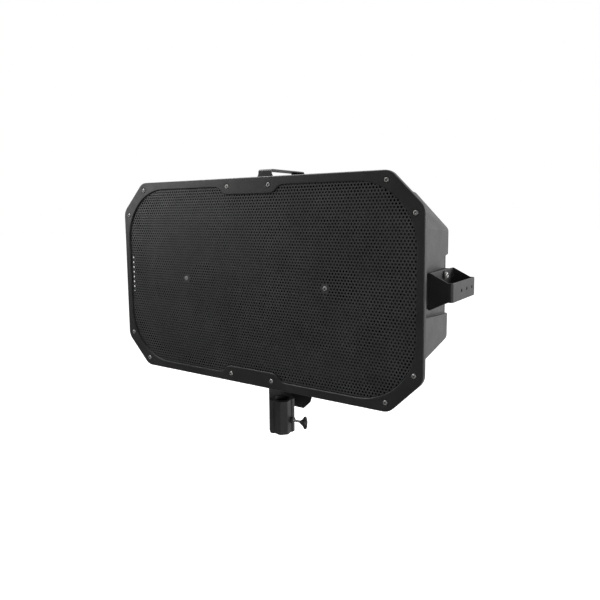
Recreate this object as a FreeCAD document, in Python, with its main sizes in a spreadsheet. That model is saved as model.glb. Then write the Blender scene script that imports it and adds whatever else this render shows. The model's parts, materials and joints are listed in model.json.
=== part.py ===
import FreeCAD, Part
import math
import os
import Sketcher
from FreeCAD import Placement, Rotation, Vector

# A wide two-driver PA speaker. Millimetres, +Z up, the front faces -Y.
# The origin is the centre of the pole socket's lower mouth, on the socket's axis.
# Cabinet parts are drawn about the centre of the front face: X right, Y back, Z up.

DIMENSIONS = {
    # cabinet datum
    "socket_setback": 117.0,
    "cabinet_centre": 375.5,
    # front frame
    "frame_half_width": 408.0,
    "frame_half_height": 231.0,
    "frame_corner_leg": 70.0,
    "frame_corner_radius": 30.0,
    "frame_depth": 11.0,
    "frame_lip": 4.0,
    "frame_rim": 4.0,
    "opening_half_width": 392.0,
    "opening_half_height": 212.0,
    "opening_corner_radius": 125.0,
    "tab_half_width": 57.0,
    "tab_flare": 40.0,
    "tab_half_height": 194.5,
    "opening_bevel": 1.5,
    "frame_screw_hole": 3.3,
    "frame_screw_recess": 6.3,
    "frame_recess_depth": 1.2,
    # grille and gasket
    "grille_gap": 0.5,
    "grille_thickness": 1.5,
    "gasket_inset": 6.0,
    "gasket_thickness": 2.0,
    "gasket_clear": 3.0,
    "gasket_screw_hole": 3.6,
    "driver_spacing_half": 195.0,
    # rear shell
    "shell_flange_thickness": 4.5,
    "shell_wall": 5.0,
    "shell_front_half_width": 401.0,
    "shell_front_half_height": 213.0,
    "shell_front_leg_wide": 74.0,
    "shell_front_leg_tall": 87.0,
    "shell_waist_setback": 208.0,
    "shell_waist_half_width": 378.0,
    "shell_waist_half_height": 196.0,
    "shell_waist_leg_wide": 76.0,
    "shell_waist_leg_tall": 80.0,
    "shell_back_setback": 268.0,
    "shell_back_half_width": 330.0,
    "shell_back_half_height": 152.0,
    "shell_back_leg_wide": 64.0,
    "shell_back_leg_tall": 60.0,
    "recess_depth": 9.5,
    "recess_front_half": 45.0,
    "recess_rear_half": 71.0,
    "recess_end": 280.0,
    "recess_floor_rise": 2.0,
    "recess_floor_overrun": 4.0,
    "boss_radius": 7.0,
    "boss_length": 14.0,
    "boss_hole": 3.05,
    "boss_floor": 2.0,
    # baffle
    "baffle_setback": 30.0,
    "baffle_thickness": 15.0,
    "baffle_half_width": 381.5,
    "baffle_half_height": 195.0,
    "baffle_leg_wide": 74.0,
    "baffle_leg_tall": 84.0,
    "baffle_cutout": 142.0,
    "ledge_thickness": 6.0,
    "ledge_width": 14.0,
    "ledge_overlap": 2.0,
    "ledge_reach": 12.0,
    "baffle_screw_hole": 2.05,
    "driver_screw_pilot": 2.55,
    # driver, measured from the baffle's front face
    "flange_radius": 155.0,
    "flange_inner": 138.0,
    "flange_thickness": 4.0,
    "basket_floor": 66.0,
    "basket_floor_end": 70.0,
    "basket_base_radius": 88.0,
    "basket_base_front": 62.0,
    "basket_bore": 44.0,
    "basket_floor_radius": 80.0,
    "basket_mouth_outer": 141.0,
    "basket_mouth_inner": 136.0,
    "basket_shoulder_outer": 139.0,
    "basket_shoulder_inner": 135.0,
    "basket_shoulder_front": 12.0,
    "basket_shoulder_back": 14.0,
    "basket_waist_radius": 98.0,
    "basket_waist": 52.0,
    "basket_window_inner": 101.0,
    "basket_window_outer": 131.0,
    "basket_window_depth": 40.0,
    "basket_screw_hole": 2.6,
    "spider_ledge": 48.0,
    "spider_ledge_inner": 84.0,
    "spider_ledge_outer": 94.0,
    "spider_ledge_drop": 6.0,
    "spider_radius": 93.0,
    "spider_thickness": 1.0,
    "top_plate_end": 78.0,
    "magnet_end": 98.0,
    "yoke_end": 106.0,
    "plate_radius": 76.0,
    "magnet_radius": 80.0,
    "magnet_bore": 45.0,
    "gap_radius": 38.9,
    "pole_radius": 36.0,
    "pole_front": 69.0,
    "former_inner": 36.7,
    "former_outer": 37.2,
    "winding_outer": 38.4,
    "winding_overhang": 8.0,
    "former_tail": 12.0,
    "former_reach": 5.0,
    "cone_edge_inner": 120.0,
    "cone_edge_outer": 124.0,
    "cone_neck_front": 36.0,
    "cone_neck_back": 41.0,
    "cone_thickness": 1.2,
    "cone_rim_step": 0.6,
    "roll_radius_outer": 139.0,
    "surround_lip": 144.0,
    "surround_thickness": 1.0,
    "roll_wall": 1.2,
    "roll_arc": 7.6,
    "roll_arc_inner": 6.35,
    "plug_radius": 33.0,
    "plug_tip": 9.0,
    "plug_thread_depth": 20.0,
    "plug_tip_length": 4.5,
    "plug_arc": 90.0,
    "plug_skirt_front": 28.0,
    "driver_screw_circle": 149.5,
    # mounting brackets
    "bracket_start": 64.0,
    "bracket_length": 135.0,
    "bracket_height": 49.0,
    "bracket_base_half": 36.0,
    "bracket_web_half": 18.5,
    "bracket_taper_end": 39.0,
    "bracket_taper_start": 4.0,
    "bracket_steel": 3.0,
    "bracket_bend": 6.0,
    "bracket_side_base": 389.5,
    "bracket_top_base": 203.0,
    "web_hole": 3.2,
    "web_hole_pitch": 31.5,
    "web_hole_centre": 82.5,
    "bolt_offset": 80.0,
    "bolt_spread_half": 25.0,
    "bolt_radius": 4.0,
    "bolt_hole": 4.2,
    "washer_radius": 9.0,
    "washer_thickness": 2.5,
    "wedge_half": 34.0,
    "nut_plate_start": 60.0,
    "nut_plate_end": 100.0,
    "nut_plate_half": 36.0,
    "nut_plate_thickness": 4.0,
    # pole socket and thumbscrew
    "socket_half": 27.5,
    "socket_chamfer": 12.5,
    "socket_height": 81.5,
    "socket_bore": 18.1,
    "groove_half": 5.5,
    "groove_depth": 2.0,
    "tap_boss_radius": 7.5,
    "tap_boss_length": 8.0,
    "hanger_steel": 3.0,
    "hanger_hole": 4.2,
    "hanger_bolt_radius": 4.0,
    "hanger_front": 102.0,
    "hanger_back": 197.0,
    "hanger_right": 36.0,
    "hanger_low": 340.0,
    "hanger_cut_top": 309.0,
    "hanger_cut_side": 12.0,
    "hanger_cut_lead": 4.0,
    "hanger_cut_drop": 12.0,
    "socket_screw_hole": 2.6,
    "socket_screw_tapped": 2.55,
    "socket_screw_depth": 4.0,
    "socket_screw_sink": 4.6,
    "socket_screw_sink_depth": 2.0,
    "screw_height": 33.0,
    "screw_radius": 3.0,
    "screw_hole": 3.05,
    "pad_radius": 6.5,
    "pad_thickness": 3.0,
    "pad_back": 22.2,
    "seat_gap": 0.2,
    "seat_clear": 0.1,
    "seat_depth": 8.0,
    "knob_front": 56.0,
    "knob_end": 73.5,
    "knob_half_span": 15.5,
    "knob_grip": 3.0,
    "knob_neck": 5.0,
    "knob_hub": 8.5,
    "knob_hub_front": 7.0,
    "knob_hub_back": 4.0,
    "knob_cap": 6.0,
    "knob_cap_back": 2.0,
    "wing_thickness": 5.0,
    "wing_tip": 3.4,
    # crossover and terminals
    "board_front": 248.0,
    "board_thickness": 2.0,
    "board_half_width": 80.0,
    "board_half_height": 50.0,
    "board_centre": 75.0,
    "board_post_wide": 72.0,
    "board_post_tall": 42.0,
    "board_hole": 1.6,
    "inductor_inner": 9.0,
    "inductor_outer": 23.0,
    "inductor_length": 26.0,
    "inductor_left": 40.0,
    "inductor_up": 16.0,
    "terminal_centre": 70.0,
    "terminal_half_width": 75.0,
    "terminal_half_height": 45.0,
    "terminal_cut_half_width": 58.0,
    "terminal_cut_half_height": 33.0,
    "terminal_gasket": 1.5,
    "terminal_thickness": 3.0,
    "connector_radius": 12.0,
    "connector_socket": 10.5,
    "connector_spread": 32.0,
    "connector_clear": 0.2,
    "connector_flange_wide": 13.0,
    "connector_flange_tall": 15.5,
    "connector_flange_corner": 2.0,
    "connector_flange": 3.0,
    "connector_depth": 22.0,
    "connector_front": 2.0,
    "connector_bore_start": 16.0,
    "connector_bore_depth": 20.0,
    "terminal_screw_wide": 68.0,
    "terminal_screw_tall": 38.0,
    "terminal_screw_pilot": 2.05,
    "terminal_gasket_hole": 2.2,
    "terminal_plate_hole": 2.1,
    # how far a cut runs past the material
    "overcut": 5.0,
}

FRAME_SCREWS = [(331.5, 212.0), (389.5, 151.0), (57.6, 213.0)]
BAFFLE_SCREWS = [(374.5, 45.0), (110.0, 188.5), (250.0, 188.5)]

os.makedirs("parts", exist_ok=True)
doc = FreeCAD.newDocument("pa_speaker")
sheet = doc.addObject("Spreadsheet::Sheet", "Dims")
for row, (alias, size) in enumerate(DIMENSIONS.items(), start=1):
    sheet.set(f"A{row}", alias)
    sheet.set(f"B{row}", str(size))
    sheet.setAlias(f"B{row}", alias)
doc.recompute()


class Dim:
    """A length that knows its value and the spreadsheet formula that gives it."""

    def __init__(self, value, formula):
        self.value = float(value)
        self.formula = formula

    def __add__(self, other):
        other = as_dim(other)
        return Dim(self.value + other.value, f"({self.formula} + {other.formula})")

    def __radd__(self, other):
        return as_dim(other) + self

    def __sub__(self, other):
        other = as_dim(other)
        return Dim(self.value - other.value, f"({self.formula} - {other.formula})")

    def __rsub__(self, other):
        return as_dim(other) - self

    def __mul__(self, other):
        other = as_dim(other)
        return Dim(self.value * other.value, f"({self.formula} * {other.formula})")

    def __rmul__(self, other):
        return as_dim(other) * self

    def __truediv__(self, other):
        other = as_dim(other)
        return Dim(self.value / other.value, f"({self.formula} / {other.formula})")

    def __neg__(self):
        return Dim(-self.value, f"(0 - {self.formula})")


def as_dim(number):
    """A plain number becomes a Dim with itself as its formula."""
    if isinstance(number, Dim):
        return number
    return Dim(number, f"{float(number):.6f}" if number >= 0 else f"(0 - {abs(float(number)):.6f})")


def size(alias):
    """The named driving dimension."""
    return Dim(float(sheet.get(alias)), f"Dims.{alias}")


def drive(item, prop, dim):
    """Bind one property of an object to a formula of driving dimensions."""
    item.setExpression(prop, as_dim(dim).formula)


def place(item, x, y, z, axis=None, angle=0.0):
    """Place an object at a point given by formulas, turned about an axis."""
    x, y, z = as_dim(x), as_dim(y), as_dim(z)
    turn = Rotation(axis, angle) if axis else Rotation()
    item.Placement = Placement(Vector(x.value, y.value, z.value), turn)
    drive(item, "Placement.Base.x", x)
    drive(item, "Placement.Base.y", y)
    drive(item, "Placement.Base.z", z)


FRONT = -size("socket_setback")
MIDDLE = size("cabinet_centre")
SUBPARTS = []


def register(item, label):
    item.Label = label
    SUBPARTS.append(item)
    return item


def new_body(label, x=0.0, y=None, z=None, axis=None, angle=0.0):
    """A PartDesign body placed from the cabinet's datum."""
    body = doc.addObject("PartDesign::Body", f"body_{label}")
    place(body, x, FRONT if y is None else y, MIDDLE if z is None else z, axis, angle)
    return register(body, label)


def new_sketch(body, plane, height=0.0):
    """A sketch on one of the body's origin planes, lifted along +Y, +Z or +X."""
    sketch = body.newObject("Sketcher::SketchObject", f"sketch_{body.Label}")
    support = [f for f in body.Origin.OriginFeatures if f.Role == plane][0]
    sketch.AttachmentSupport = [(support, "")]
    sketch.MapMode = "FlatFace"
    lift = -as_dim(height) if plane == "XZ_Plane" else as_dim(height)
    sketch.AttachmentOffset = Placement(Vector(0, 0, lift.value), Rotation())
    drive(sketch, "AttachmentOffset.Base.z", lift)
    return sketch


def fix_point(sketch, geometry, corner, x, y):
    """Hold one end of a sketch element at (x, y) by driven distances from the origin."""
    for kind, dim in (("DistanceX", as_dim(x)), ("DistanceY", as_dim(y))):
        row = sketch.addConstraint(Sketcher.Constraint(kind, -1, 1, geometry, corner, dim.value))
        sketch.setExpression(f"Constraints[{row}]", dim.formula)


def arc_between(start, end, radius):
    """The short arc from start to end. A positive radius bulges to the right of the way."""
    chord = end - start
    left = Vector(-chord.y, chord.x, 0).normalize() * math.copysign(1.0, radius)
    drop = math.sqrt(max(radius * radius - chord.Length ** 2 / 4.0, 0.0))
    centre = (start + end) * 0.5 + left * drop
    first, last = (start, end) if radius > 0 else (end, start)
    turns = [math.atan2(p.y - centre.y, p.x - centre.x) for p in (first, last)]
    if turns[1] < turns[0]:
        turns[1] += 2.0 * math.pi
    return Part.ArcOfCircle(Part.Circle(centre, Vector(0, 0, 1), abs(radius)), turns[0], turns[1])


def outline(sketch, points):
    """A closed outline of (x, y) corners. A third item gives the arc that leaves the corner:
    its radius, positive where the arc bulges to the right of the way round."""
    corners = [(as_dim(p[0]), as_dim(p[1]), as_dim(p[2]) if len(p) > 2 else None) for p in points]
    first = sketch.GeometryCount
    starts = []
    ends = []
    for here, after in zip(corners, corners[1:] + corners[:1]):
        start = Vector(here[0].value, here[1].value, 0)
        end = Vector(after[0].value, after[1].value, 0)
        against = here[2] is not None and here[2].value < 0
        starts.append(2 if against else 1)
        ends.append(1 if against else 2)
        if here[2] is None:
            sketch.addGeometry(Part.LineSegment(start, end), False)
        else:
            sketch.addGeometry(arc_between(start, end, here[2].value), False)
    for step, here in enumerate(corners):
        geometry = first + step
        before = (step - 1) % len(corners)
        sketch.addConstraint(Sketcher.Constraint(
            "Coincident", first + before, ends[before], geometry, starts[step]))
        fix_point(sketch, geometry, starts[step], here[0], here[1])
        if here[2] is not None:
            radius = -here[2] if here[2].value < 0 else here[2]
            row = sketch.addConstraint(Sketcher.Constraint("Radius", geometry, radius.value))
            sketch.setExpression(f"Constraints[{row}]", radius.formula)


def circle(sketch, x, y, radius):
    """A circle whose centre and radius are driven."""
    x, y, radius = as_dim(x), as_dim(y), as_dim(radius)
    shape = Part.Circle(Vector(x.value, y.value, 0), Vector(0, 0, 1), radius.value)
    index = sketch.addGeometry(shape, False)
    row = sketch.addConstraint(Sketcher.Constraint("Radius", index, radius.value))
    sketch.setExpression(f"Constraints[{row}]", radius.formula)
    fix_point(sketch, index, 3, x, y)


def pad(body, sketch, length, backward=False, midplane=False):
    """Add material. On an XZ sketch, backward runs towards +Y."""
    feature = body.newObject("PartDesign::Pad", f"pad_{body.Label}")
    feature.Profile = sketch
    feature.Length = as_dim(length).value
    drive(feature, "Length", length)
    feature.Reversed = backward
    if midplane:
        feature.SideType = "Symmetric"
    doc.recompute()
    return feature


def pocket(body, sketch, length, flip=False, midplane=False):
    """Remove material, and fail if nothing was removed. On an XZ sketch it cuts towards +Y."""
    before = body.Shape.Volume
    feature = body.newObject("PartDesign::Pocket", f"pocket_{body.Label}")
    feature.Profile = sketch
    feature.Length = as_dim(length).value
    drive(feature, "Length", length)
    feature.Reversed = flip
    if midplane:
        feature.SideType = "Symmetric"
    doc.recompute()
    if not body.Shape.Volume < before - 0.01:
        raise RuntimeError(f"{body.Label}: {feature.Name} removed nothing")
    return feature


def revolve(label, profile, x=0.0, y=None, z=None):
    """A body turned about its own Y axis from (radius, y) corners."""
    body = new_body(label, x, y, z)
    sketch = new_sketch(body, "XY_Plane")
    outline(sketch, profile)
    feature = body.newObject("PartDesign::Revolution", f"turn_{label}")
    feature.Profile = sketch
    feature.ReferenceAxis = (sketch, ["V_Axis"])
    feature.Angle = 360.0
    doc.recompute()
    return body


def mirrored_corners(quarter):
    """All four quarters of an outline from the corners of the +X +Y one, which runs from
    the +X axis round to the +Y axis. Arc radii are kept with the corner they leave."""
    right_top = [tuple(p) + (None,) * (3 - len(p)) for p in quarter]
    backwards = []
    for index in range(len(right_top) - 1, -1, -1):
        x, y, _ = right_top[index]
        arc = right_top[index - 1][2] if index > 0 else None
        backwards.append((x, y, arc))
    left_top = [(-x, y, arc) for x, y, arc in backwards]
    left_bottom = [(-x, -y, arc) for x, y, arc in right_top]
    right_bottom = [(x, -y, arc) for x, y, arc in backwards]
    corners = right_top + left_top + left_bottom + right_bottom
    return [c if c[2] is not None else c[:2] for c in corners]


def octagon(half_width, half_height, leg_wide, leg_tall):
    """A rectangle with cut corners, as outline corners."""
    half_width, half_height = as_dim(half_width), as_dim(half_height)
    return mirrored_corners([
        (half_width, half_height - leg_tall),
        (half_width - leg_wide, half_height),
    ])


def frame_octagon(inset):
    """The front frame's outline, moved inwards."""
    leg = size("frame_corner_leg") - as_dim(inset) * (2.0 - math.sqrt(2.0))
    return octagon(size("frame_half_width") - inset, size("frame_half_height") - inset, leg, leg)


def grille_opening(grow):
    """The window in the front frame, with a tab at the middle of its top and bottom."""
    half_width = size("opening_half_width") + grow
    half_height = size("opening_half_height") + grow
    radius = size("opening_corner_radius") + grow
    tab_x = size("tab_half_width")
    tab_z = size("tab_half_height") + grow
    flare = size("tab_flare")
    drop = half_height - tab_z
    curve = (flare * flare + drop * drop) / (4.0 * drop)
    return mirrored_corners([
        (half_width, half_height - radius, radius),
        (half_width - radius, half_height),
        (tab_x + flare, half_height, curve),
        (tab_x + flare / 2.0, half_height - drop / 2.0, -curve),
        (tab_x, tab_z),
    ])


def four_ways(points):
    """Each point repeated in all four quarters."""
    return [(sx * x, sz * z) for x, z in points for sx in (1, -1) for sz in (1, -1)]


def screw_holes(body, height, depth, points, radius):
    """Round holes through a plate, from the given height backwards."""
    sketch = new_sketch(body, "XZ_Plane", height)
    for x, z in points:
        circle(sketch, x, z, radius)
    return pocket(body, sketch, depth)


def plate(label, corners, start, thickness, holes=None, hole_radius=None):
    """A flat plate parallel to the front, with optional inner outline and round holes."""
    body = new_body(label)
    sketch = new_sketch(body, "XZ_Plane", start)
    for loop in corners:
        outline(sketch, loop)
    pad(body, sketch, thickness, backward=True)
    if holes:
        screw_holes(body, start, thickness, holes, hole_radius)
    return body


def round_straight_edges(body, direction, radius):
    """Fillet the straight edges that run along one direction."""
    names = []
    for number, edge in enumerate(body.Shape.Edges, start=1):
        line = edge.Vertexes[-1].Point - edge.Vertexes[0].Point
        if line.Length < 1e-6 or abs(abs(line.normalize().dot(direction)) - 1.0) > 1e-6:
            continue
        names.append(f"Edge{number}")
    base = body.Tip
    feature = body.newObject("PartDesign::Fillet", f"round_{body.Label}")
    feature.Base = (base, names)
    feature.Radius = as_dim(radius).value
    drive(feature, "Radius", radius)
    doc.recompute()
    return feature


# ---------------------------------------------------------------- front frame and grille

frame_points = four_ways(FRAME_SCREWS)
centre_points = [(-size("driver_spacing_half").value, 0.0), (size("driver_spacing_half").value, 0.0)]


def build_front_frame():
    body = plate("front_frame", [frame_octagon(0.0)], 0.0, size("frame_depth"))
    round_straight_edges(body, Vector(0, 1, 0), size("frame_corner_radius"))
    tray = new_sketch(body, "XZ_Plane", size("frame_lip"))
    outline(tray, frame_octagon(size("frame_rim")))
    pocket(body, tray, size("frame_depth"))
    window = new_sketch(body, "XZ_Plane", 0.0)
    outline(window, grille_opening(0.0))
    pocket(body, window, size("frame_depth"))
    bevel_opening(body)
    screw_holes(body, 0.0, size("frame_lip"), frame_points, size("frame_screw_hole"))
    screw_holes(body, 0.0, size("frame_recess_depth"), frame_points, size("frame_screw_recess"))


def bevel_opening(body):
    """Break the window's front edge."""
    names = []
    for number, edge in enumerate(body.Shape.Edges, start=1):
        middle = edge.CenterOfMass - Vector(0, FRONT.value, MIDDLE.value)
        on_front = all(abs(v.Point.y - FRONT.value) < 1e-6 for v in edge.Vertexes)
        inside = abs(middle.x) < size("opening_half_width").value + 1.0 and (
            abs(middle.z) < size("opening_half_height").value + 1.0)
        if on_front and inside:
            names.append(f"Edge{number}")
    base = body.Tip
    feature = body.newObject("PartDesign::Chamfer", "bevel_opening")
    feature.Base = (base, names)
    feature.Size = size("opening_bevel").value
    drive(feature, "Size", size("opening_bevel"))
    doc.recompute()


def build_grille():
    inset = size("frame_rim") + size("grille_gap")
    start = size("frame_lip")
    plate("grille_sheet", [frame_octagon(inset)], start, size("grille_thickness"),
          frame_points + centre_points, size("frame_screw_hole"))
    plate("grille_gasket", [frame_octagon(size("gasket_inset")), grille_opening(size("gasket_clear"))],
          start + size("grille_thickness"), size("gasket_thickness"), frame_points,
          size("gasket_screw_hole"))


build_front_frame()
build_grille()

# ---------------------------------------------------------------- rear shell

FLANGE_FRONT = size("frame_lip") + size("grille_thickness") + size("gasket_thickness")
FLANGE_BACK = FLANGE_FRONT + size("shell_flange_thickness")
WALL = size("shell_wall")


def root(dim):
    """The square root of a formula."""
    return Dim(math.sqrt(dim.value), f"sqrt({dim.formula})")


def shell_size(name, setback):
    """A shell dimension between the front and the waist, at a given setback."""
    front = size(f"shell_front_{name}")
    waist = size(f"shell_waist_{name}")
    run = size("shell_waist_setback") - FLANGE_BACK
    return front + (waist - front) * (setback - FLANGE_BACK) / run


def inset_octagon(half_width, half_height, leg_wide, leg_tall, inset):
    """An octagon whose every side is moved inwards by the same distance."""
    slope = root(leg_wide * leg_wide + leg_tall * leg_tall)
    inset = as_dim(inset)
    new_tall = leg_tall - inset + inset * (slope - leg_tall) / leg_wide
    new_wide = leg_wide - inset + inset * (slope - leg_wide) / leg_tall
    return octagon(half_width - inset, half_height - inset, new_wide, new_tall)


def shell_section(body, station, setback, inset):
    """One cross-section of the shell's outside or inside."""
    sketch = new_sketch(body, "XZ_Plane", setback)
    names = ("half_width", "half_height", "leg_wide", "leg_tall")
    outline(sketch, inset_octagon(*[size(f"shell_{station}_{name}") for name in names], inset))
    return sketch


def loft(body, kind, sections):
    """A ruled loft through sketches, added or removed."""
    before = body.Shape.Volume if body.Tip else 0.0
    feature = body.newObject(f"PartDesign::{kind}Loft", f"loft_{body.Label}")
    feature.Profile = sections[0]
    feature.Sections = sections[1:]
    feature.Ruled = True
    doc.recompute()
    if abs(body.Shape.Volume - before) < 0.01:
        raise RuntimeError(f"{body.Label}: {feature.Name} changed nothing")
    return feature


def recess_floor(wall, setback):
    """How far the recess floor lies from the cabinet's centre line."""
    return shell_size(wall, setback) - size("recess_depth")


def recess_half(setback):
    """Half the recess's breadth, which widens towards the back."""
    front = size("recess_front_half")
    spread = size("recess_rear_half") - front
    return front + spread * (setback - FLANGE_BACK) / (size("recess_end") - FLANGE_BACK)


def wall_block(body, wall, sign, stations, low, high, grow):
    """Sections of a tapering block on one wall, from floor + low to floor + high."""
    sketches = []
    for setback in stations:
        near = sign * (recess_floor(wall, setback) + low)
        far = sign * (recess_floor(wall, setback) + high)
        half = recess_half(setback) + grow
        sketch = new_sketch(body, "XZ_Plane", setback)
        if sign < 0:
            near, far = far, near
        if wall == "half_width":
            corners = [(near, -half), (far, -half), (far, half), (near, half)]
        else:
            corners = [(-half, near), (half, near), (half, far), (-half, far)]
        outline(sketch, corners)
        sketches.append(sketch)
    return sketches


def build_rear_shell():
    body = new_body("rear_shell")
    stations = (("front", FLANGE_BACK), ("waist", size("shell_waist_setback")),
                ("back", size("shell_back_setback")))
    loft(body, "Additive", [shell_section(body, name, at, 0.0) for name, at in stations])
    flange = new_sketch(body, "XZ_Plane", FLANGE_FRONT)
    outline(flange, frame_octagon(size("frame_rim") + size("grille_gap")))
    pad(body, flange, size("shell_flange_thickness"), backward=True)
    pocket(body, shell_section(body, "front", FLANGE_FRONT, WALL), size("shell_flange_thickness"))
    stations = stations[:2] + (("back", size("shell_back_setback") - WALL),)
    loft(body, "Subtractive", [shell_section(body, name, at, WALL) for name, at in stations])
    add_baffle_ledge(body)
    walls = [(wall, sign) for wall in ("half_width", "half_height") for sign in (1, -1)]
    for wall, sign in walls:
        reach = (FLANGE_BACK, size("shell_waist_setback") + size("recess_floor_overrun"))
        loft(body, "Additive", wall_block(body, wall, sign, reach, -WALL, size("recess_floor_rise"), WALL))
    above = size("recess_depth") + size("overcut") * 2.0
    for wall, sign in walls:
        reach = (FLANGE_BACK, size("recess_end"))
        loft(body, "Subtractive", wall_block(body, wall, sign, reach, 0.0, above, 0.0))
    add_bosses(body)
    cut_bolt_holes(body)
    cut_terminal_window(body)


def add_baffle_ledge(body):
    """A ring inside the walls that the baffle is screwed to."""
    back = size("baffle_setback") + size("baffle_thickness")
    shape = [shell_size(name, back) for name in ("half_width", "half_height", "leg_wide", "leg_tall")]
    sketch = new_sketch(body, "XZ_Plane", back)
    outline(sketch, inset_octagon(*shape, WALL - size("ledge_overlap")))
    outline(sketch, inset_octagon(*shape, size("ledge_reach") + size("ledge_width")))
    pad(body, sketch, size("ledge_thickness"), backward=True)
    screw_holes(body, back, size("ledge_thickness"), four_ways(BAFFLE_SCREWS), size("baffle_screw_hole"))


def add_bosses(body):
    """Blind bosses behind the flange for the front frame's screws."""
    sketch = new_sketch(body, "XZ_Plane", FLANGE_BACK)
    for x, z in frame_points:
        circle(sketch, x, z, size("boss_radius"))
    pad(body, sketch, size("boss_length"), backward=True)
    depth = size("shell_flange_thickness") + size("boss_length") - size("boss_floor")
    screw_holes(body, FLANGE_FRONT, depth, frame_points, size("boss_hole"))


def cut_bolt_holes(body):
    """Holes through all four recess floors for the brackets' bolts."""
    along = size("bracket_start") + size("bolt_offset")
    across = size("bolt_spread_half")
    sides = new_sketch(body, "YZ_Plane")
    lids = new_sketch(body, "XY_Plane")
    for sign in (1, -1):
        circle(sides, along, sign * across, size("bolt_hole"))
        circle(lids, sign * across, along, size("bolt_hole"))
    pocket(body, sides, size("frame_half_width") * 2.0, midplane=True)
    pocket(body, lids, size("frame_half_height") * 2.0, midplane=True)


def rectangle(half_width, half_height, centre_x=0.0, centre_y=0.0):
    """Rectangle corners about a centre."""
    cx, cy = as_dim(centre_x), as_dim(centre_y)
    return [(cx - half_width, cy - half_height), (cx + half_width, cy - half_height),
            (cx + half_width, cy + half_height), (cx - half_width, cy + half_height)]


def four_corners(wide, tall, middle):
    """The corners of a rectangle centred on the cabinet's middle plane, as plain points."""
    return [(sx * wide.value, middle.value + sz * tall.value) for sx in (1, -1) for sz in (1, -1)]


TERMINAL_Z = -size("terminal_centre")
terminal_screws = four_corners(size("terminal_screw_wide"), size("terminal_screw_tall"), TERMINAL_Z)
connector_points = [(sx * size("connector_spread").value, TERMINAL_Z.value) for sx in (1, -1)]


def cut_terminal_window(body):
    """The back wall's window for the connectors, and the plate's screw holes."""
    start = size("shell_back_setback") - WALL
    sketch = new_sketch(body, "XZ_Plane", start)
    outline(sketch, rectangle(size("terminal_cut_half_width"), size("terminal_cut_half_height"),
                              0.0, TERMINAL_Z))
    pocket(body, sketch, WALL)
    screw_holes(body, start, WALL, terminal_screws, size("terminal_screw_pilot"))


build_rear_shell()

# ---------------------------------------------------------------- baffle and drivers

BAFFLE = size("baffle_setback")
SPACING = size("driver_spacing_half")
DRIVER_SCREWS = 8
BASKET_WINDOWS = 6
WINDOW_HALF_ANGLE = math.radians(21.0)


def build_baffle():
    shape = [size(f"baffle_{name}") for name in ("half_width", "half_height", "leg_wide", "leg_tall")]
    body = plate("baffle", [octagon(*shape)], BAFFLE, size("baffle_thickness"),
                 four_ways(BAFFLE_SCREWS), size("baffle_screw_hole"))
    screw_holes(body, BAFFLE, size("baffle_thickness"), centre_points, size("baffle_cutout"))
    rims = [point for x, _ in centre_points for point in driver_screw_points(x)]
    screw_holes(body, BAFFLE, size("baffle_thickness"), rims, size("driver_screw_pilot"))


def driver_screw_points(x):
    """The driver's rim screws, as (x, z) points about an axis at x."""
    ring = size("driver_screw_circle").value
    turns = [2.0 * math.pi * (step + 0.5) / DRIVER_SCREWS for step in range(DRIVER_SCREWS)]
    return [(x + ring * math.cos(turn), ring * math.sin(turn)) for turn in turns]


def build_driver(side, sign):
    """One cone driver. Each piece is turned about the driver's axis, y from the baffle's front."""
    x = sign * SPACING
    y = FRONT + BAFFLE
    flange = -size("flange_thickness")
    build_basket(side, x, y, flange)
    plate_front = size("basket_floor_end")
    plate_back = size("top_plate_end")
    magnet_back = size("magnet_end")
    rim = size("plate_radius")
    revolve(f"top_plate_{side}", [
        (size("gap_radius"), plate_front), (rim, plate_front), (rim, plate_back),
        (size("gap_radius"), plate_back)], x, y)
    revolve(f"magnet_{side}", [
        (size("magnet_bore"), plate_back), (size("magnet_radius"), plate_back),
        (size("magnet_radius"), magnet_back), (size("magnet_bore"), magnet_back)], x, y)
    pole = size("pole_radius")
    revolve(f"yoke_{side}", [
        (0.0, size("pole_front")), (pole, size("pole_front")), (pole, magnet_back),
        (rim, magnet_back), (rim, size("yoke_end")), (0.0, size("yoke_end"))], x, y)
    build_moving_parts(side, x, y, flange)
    build_surround(side, x, y, flange)
    outer, ledge = size("former_outer"), size("spider_ledge")
    front, rim = ledge - size("spider_thickness"), size("spider_radius")
    revolve(f"spider_{side}", [(outer, front), (rim, front), (rim, ledge), (outer, ledge)], x, y)
    build_phase_plug(side, x, y)


def build_moving_parts(side, x, y, flange):
    """The voice coil on its former, and the cone that it drives."""
    inner, outer, winding = size("former_inner"), size("former_outer"), size("winding_outer")
    neck = size("cone_neck_back")
    front = neck - size("former_reach")
    wound_from = size("basket_floor_end") - size("winding_overhang")
    wound_to = size("top_plate_end") + size("winding_overhang")
    tail = size("top_plate_end") + size("former_tail")
    revolve(f"voice_coil_{side}", [
        (inner, front), (outer, front), (outer, wound_from), (winding, wound_from),
        (winding, wound_to), (outer, wound_to), (outer, tail), (inner, tail)], x, y)
    edge_in, edge_out = size("cone_edge_inner"), size("cone_edge_outer")
    behind = flange + size("cone_thickness")
    revolve(f"cone_{side}", [
        (outer, front), (edge_in, flange), (edge_out, flange), (edge_out, behind),
        (edge_in + size("cone_rim_step"), behind), (outer, neck)], x, y)


def build_phase_plug(side, x, y):
    """A bullet on the pole piece, whose tip is drilled and meets the back of the grille."""
    tip = size("frame_lip") + size("grille_thickness") - BAFFLE
    hole, plug, nose = size("screw_hole"), size("plug_radius"), size("plug_tip")
    end = tip + size("plug_thread_depth")
    revolve(f"phase_plug_{side}", [
        (0.0, end), (hole, end), (hole, tip), (nose, tip),
        (nose, tip + size("plug_tip_length"), size("plug_arc")), (plug, size("plug_skirt_front")),
        (plug, size("pole_front")), (0.0, size("pole_front"))], x, y)


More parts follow.
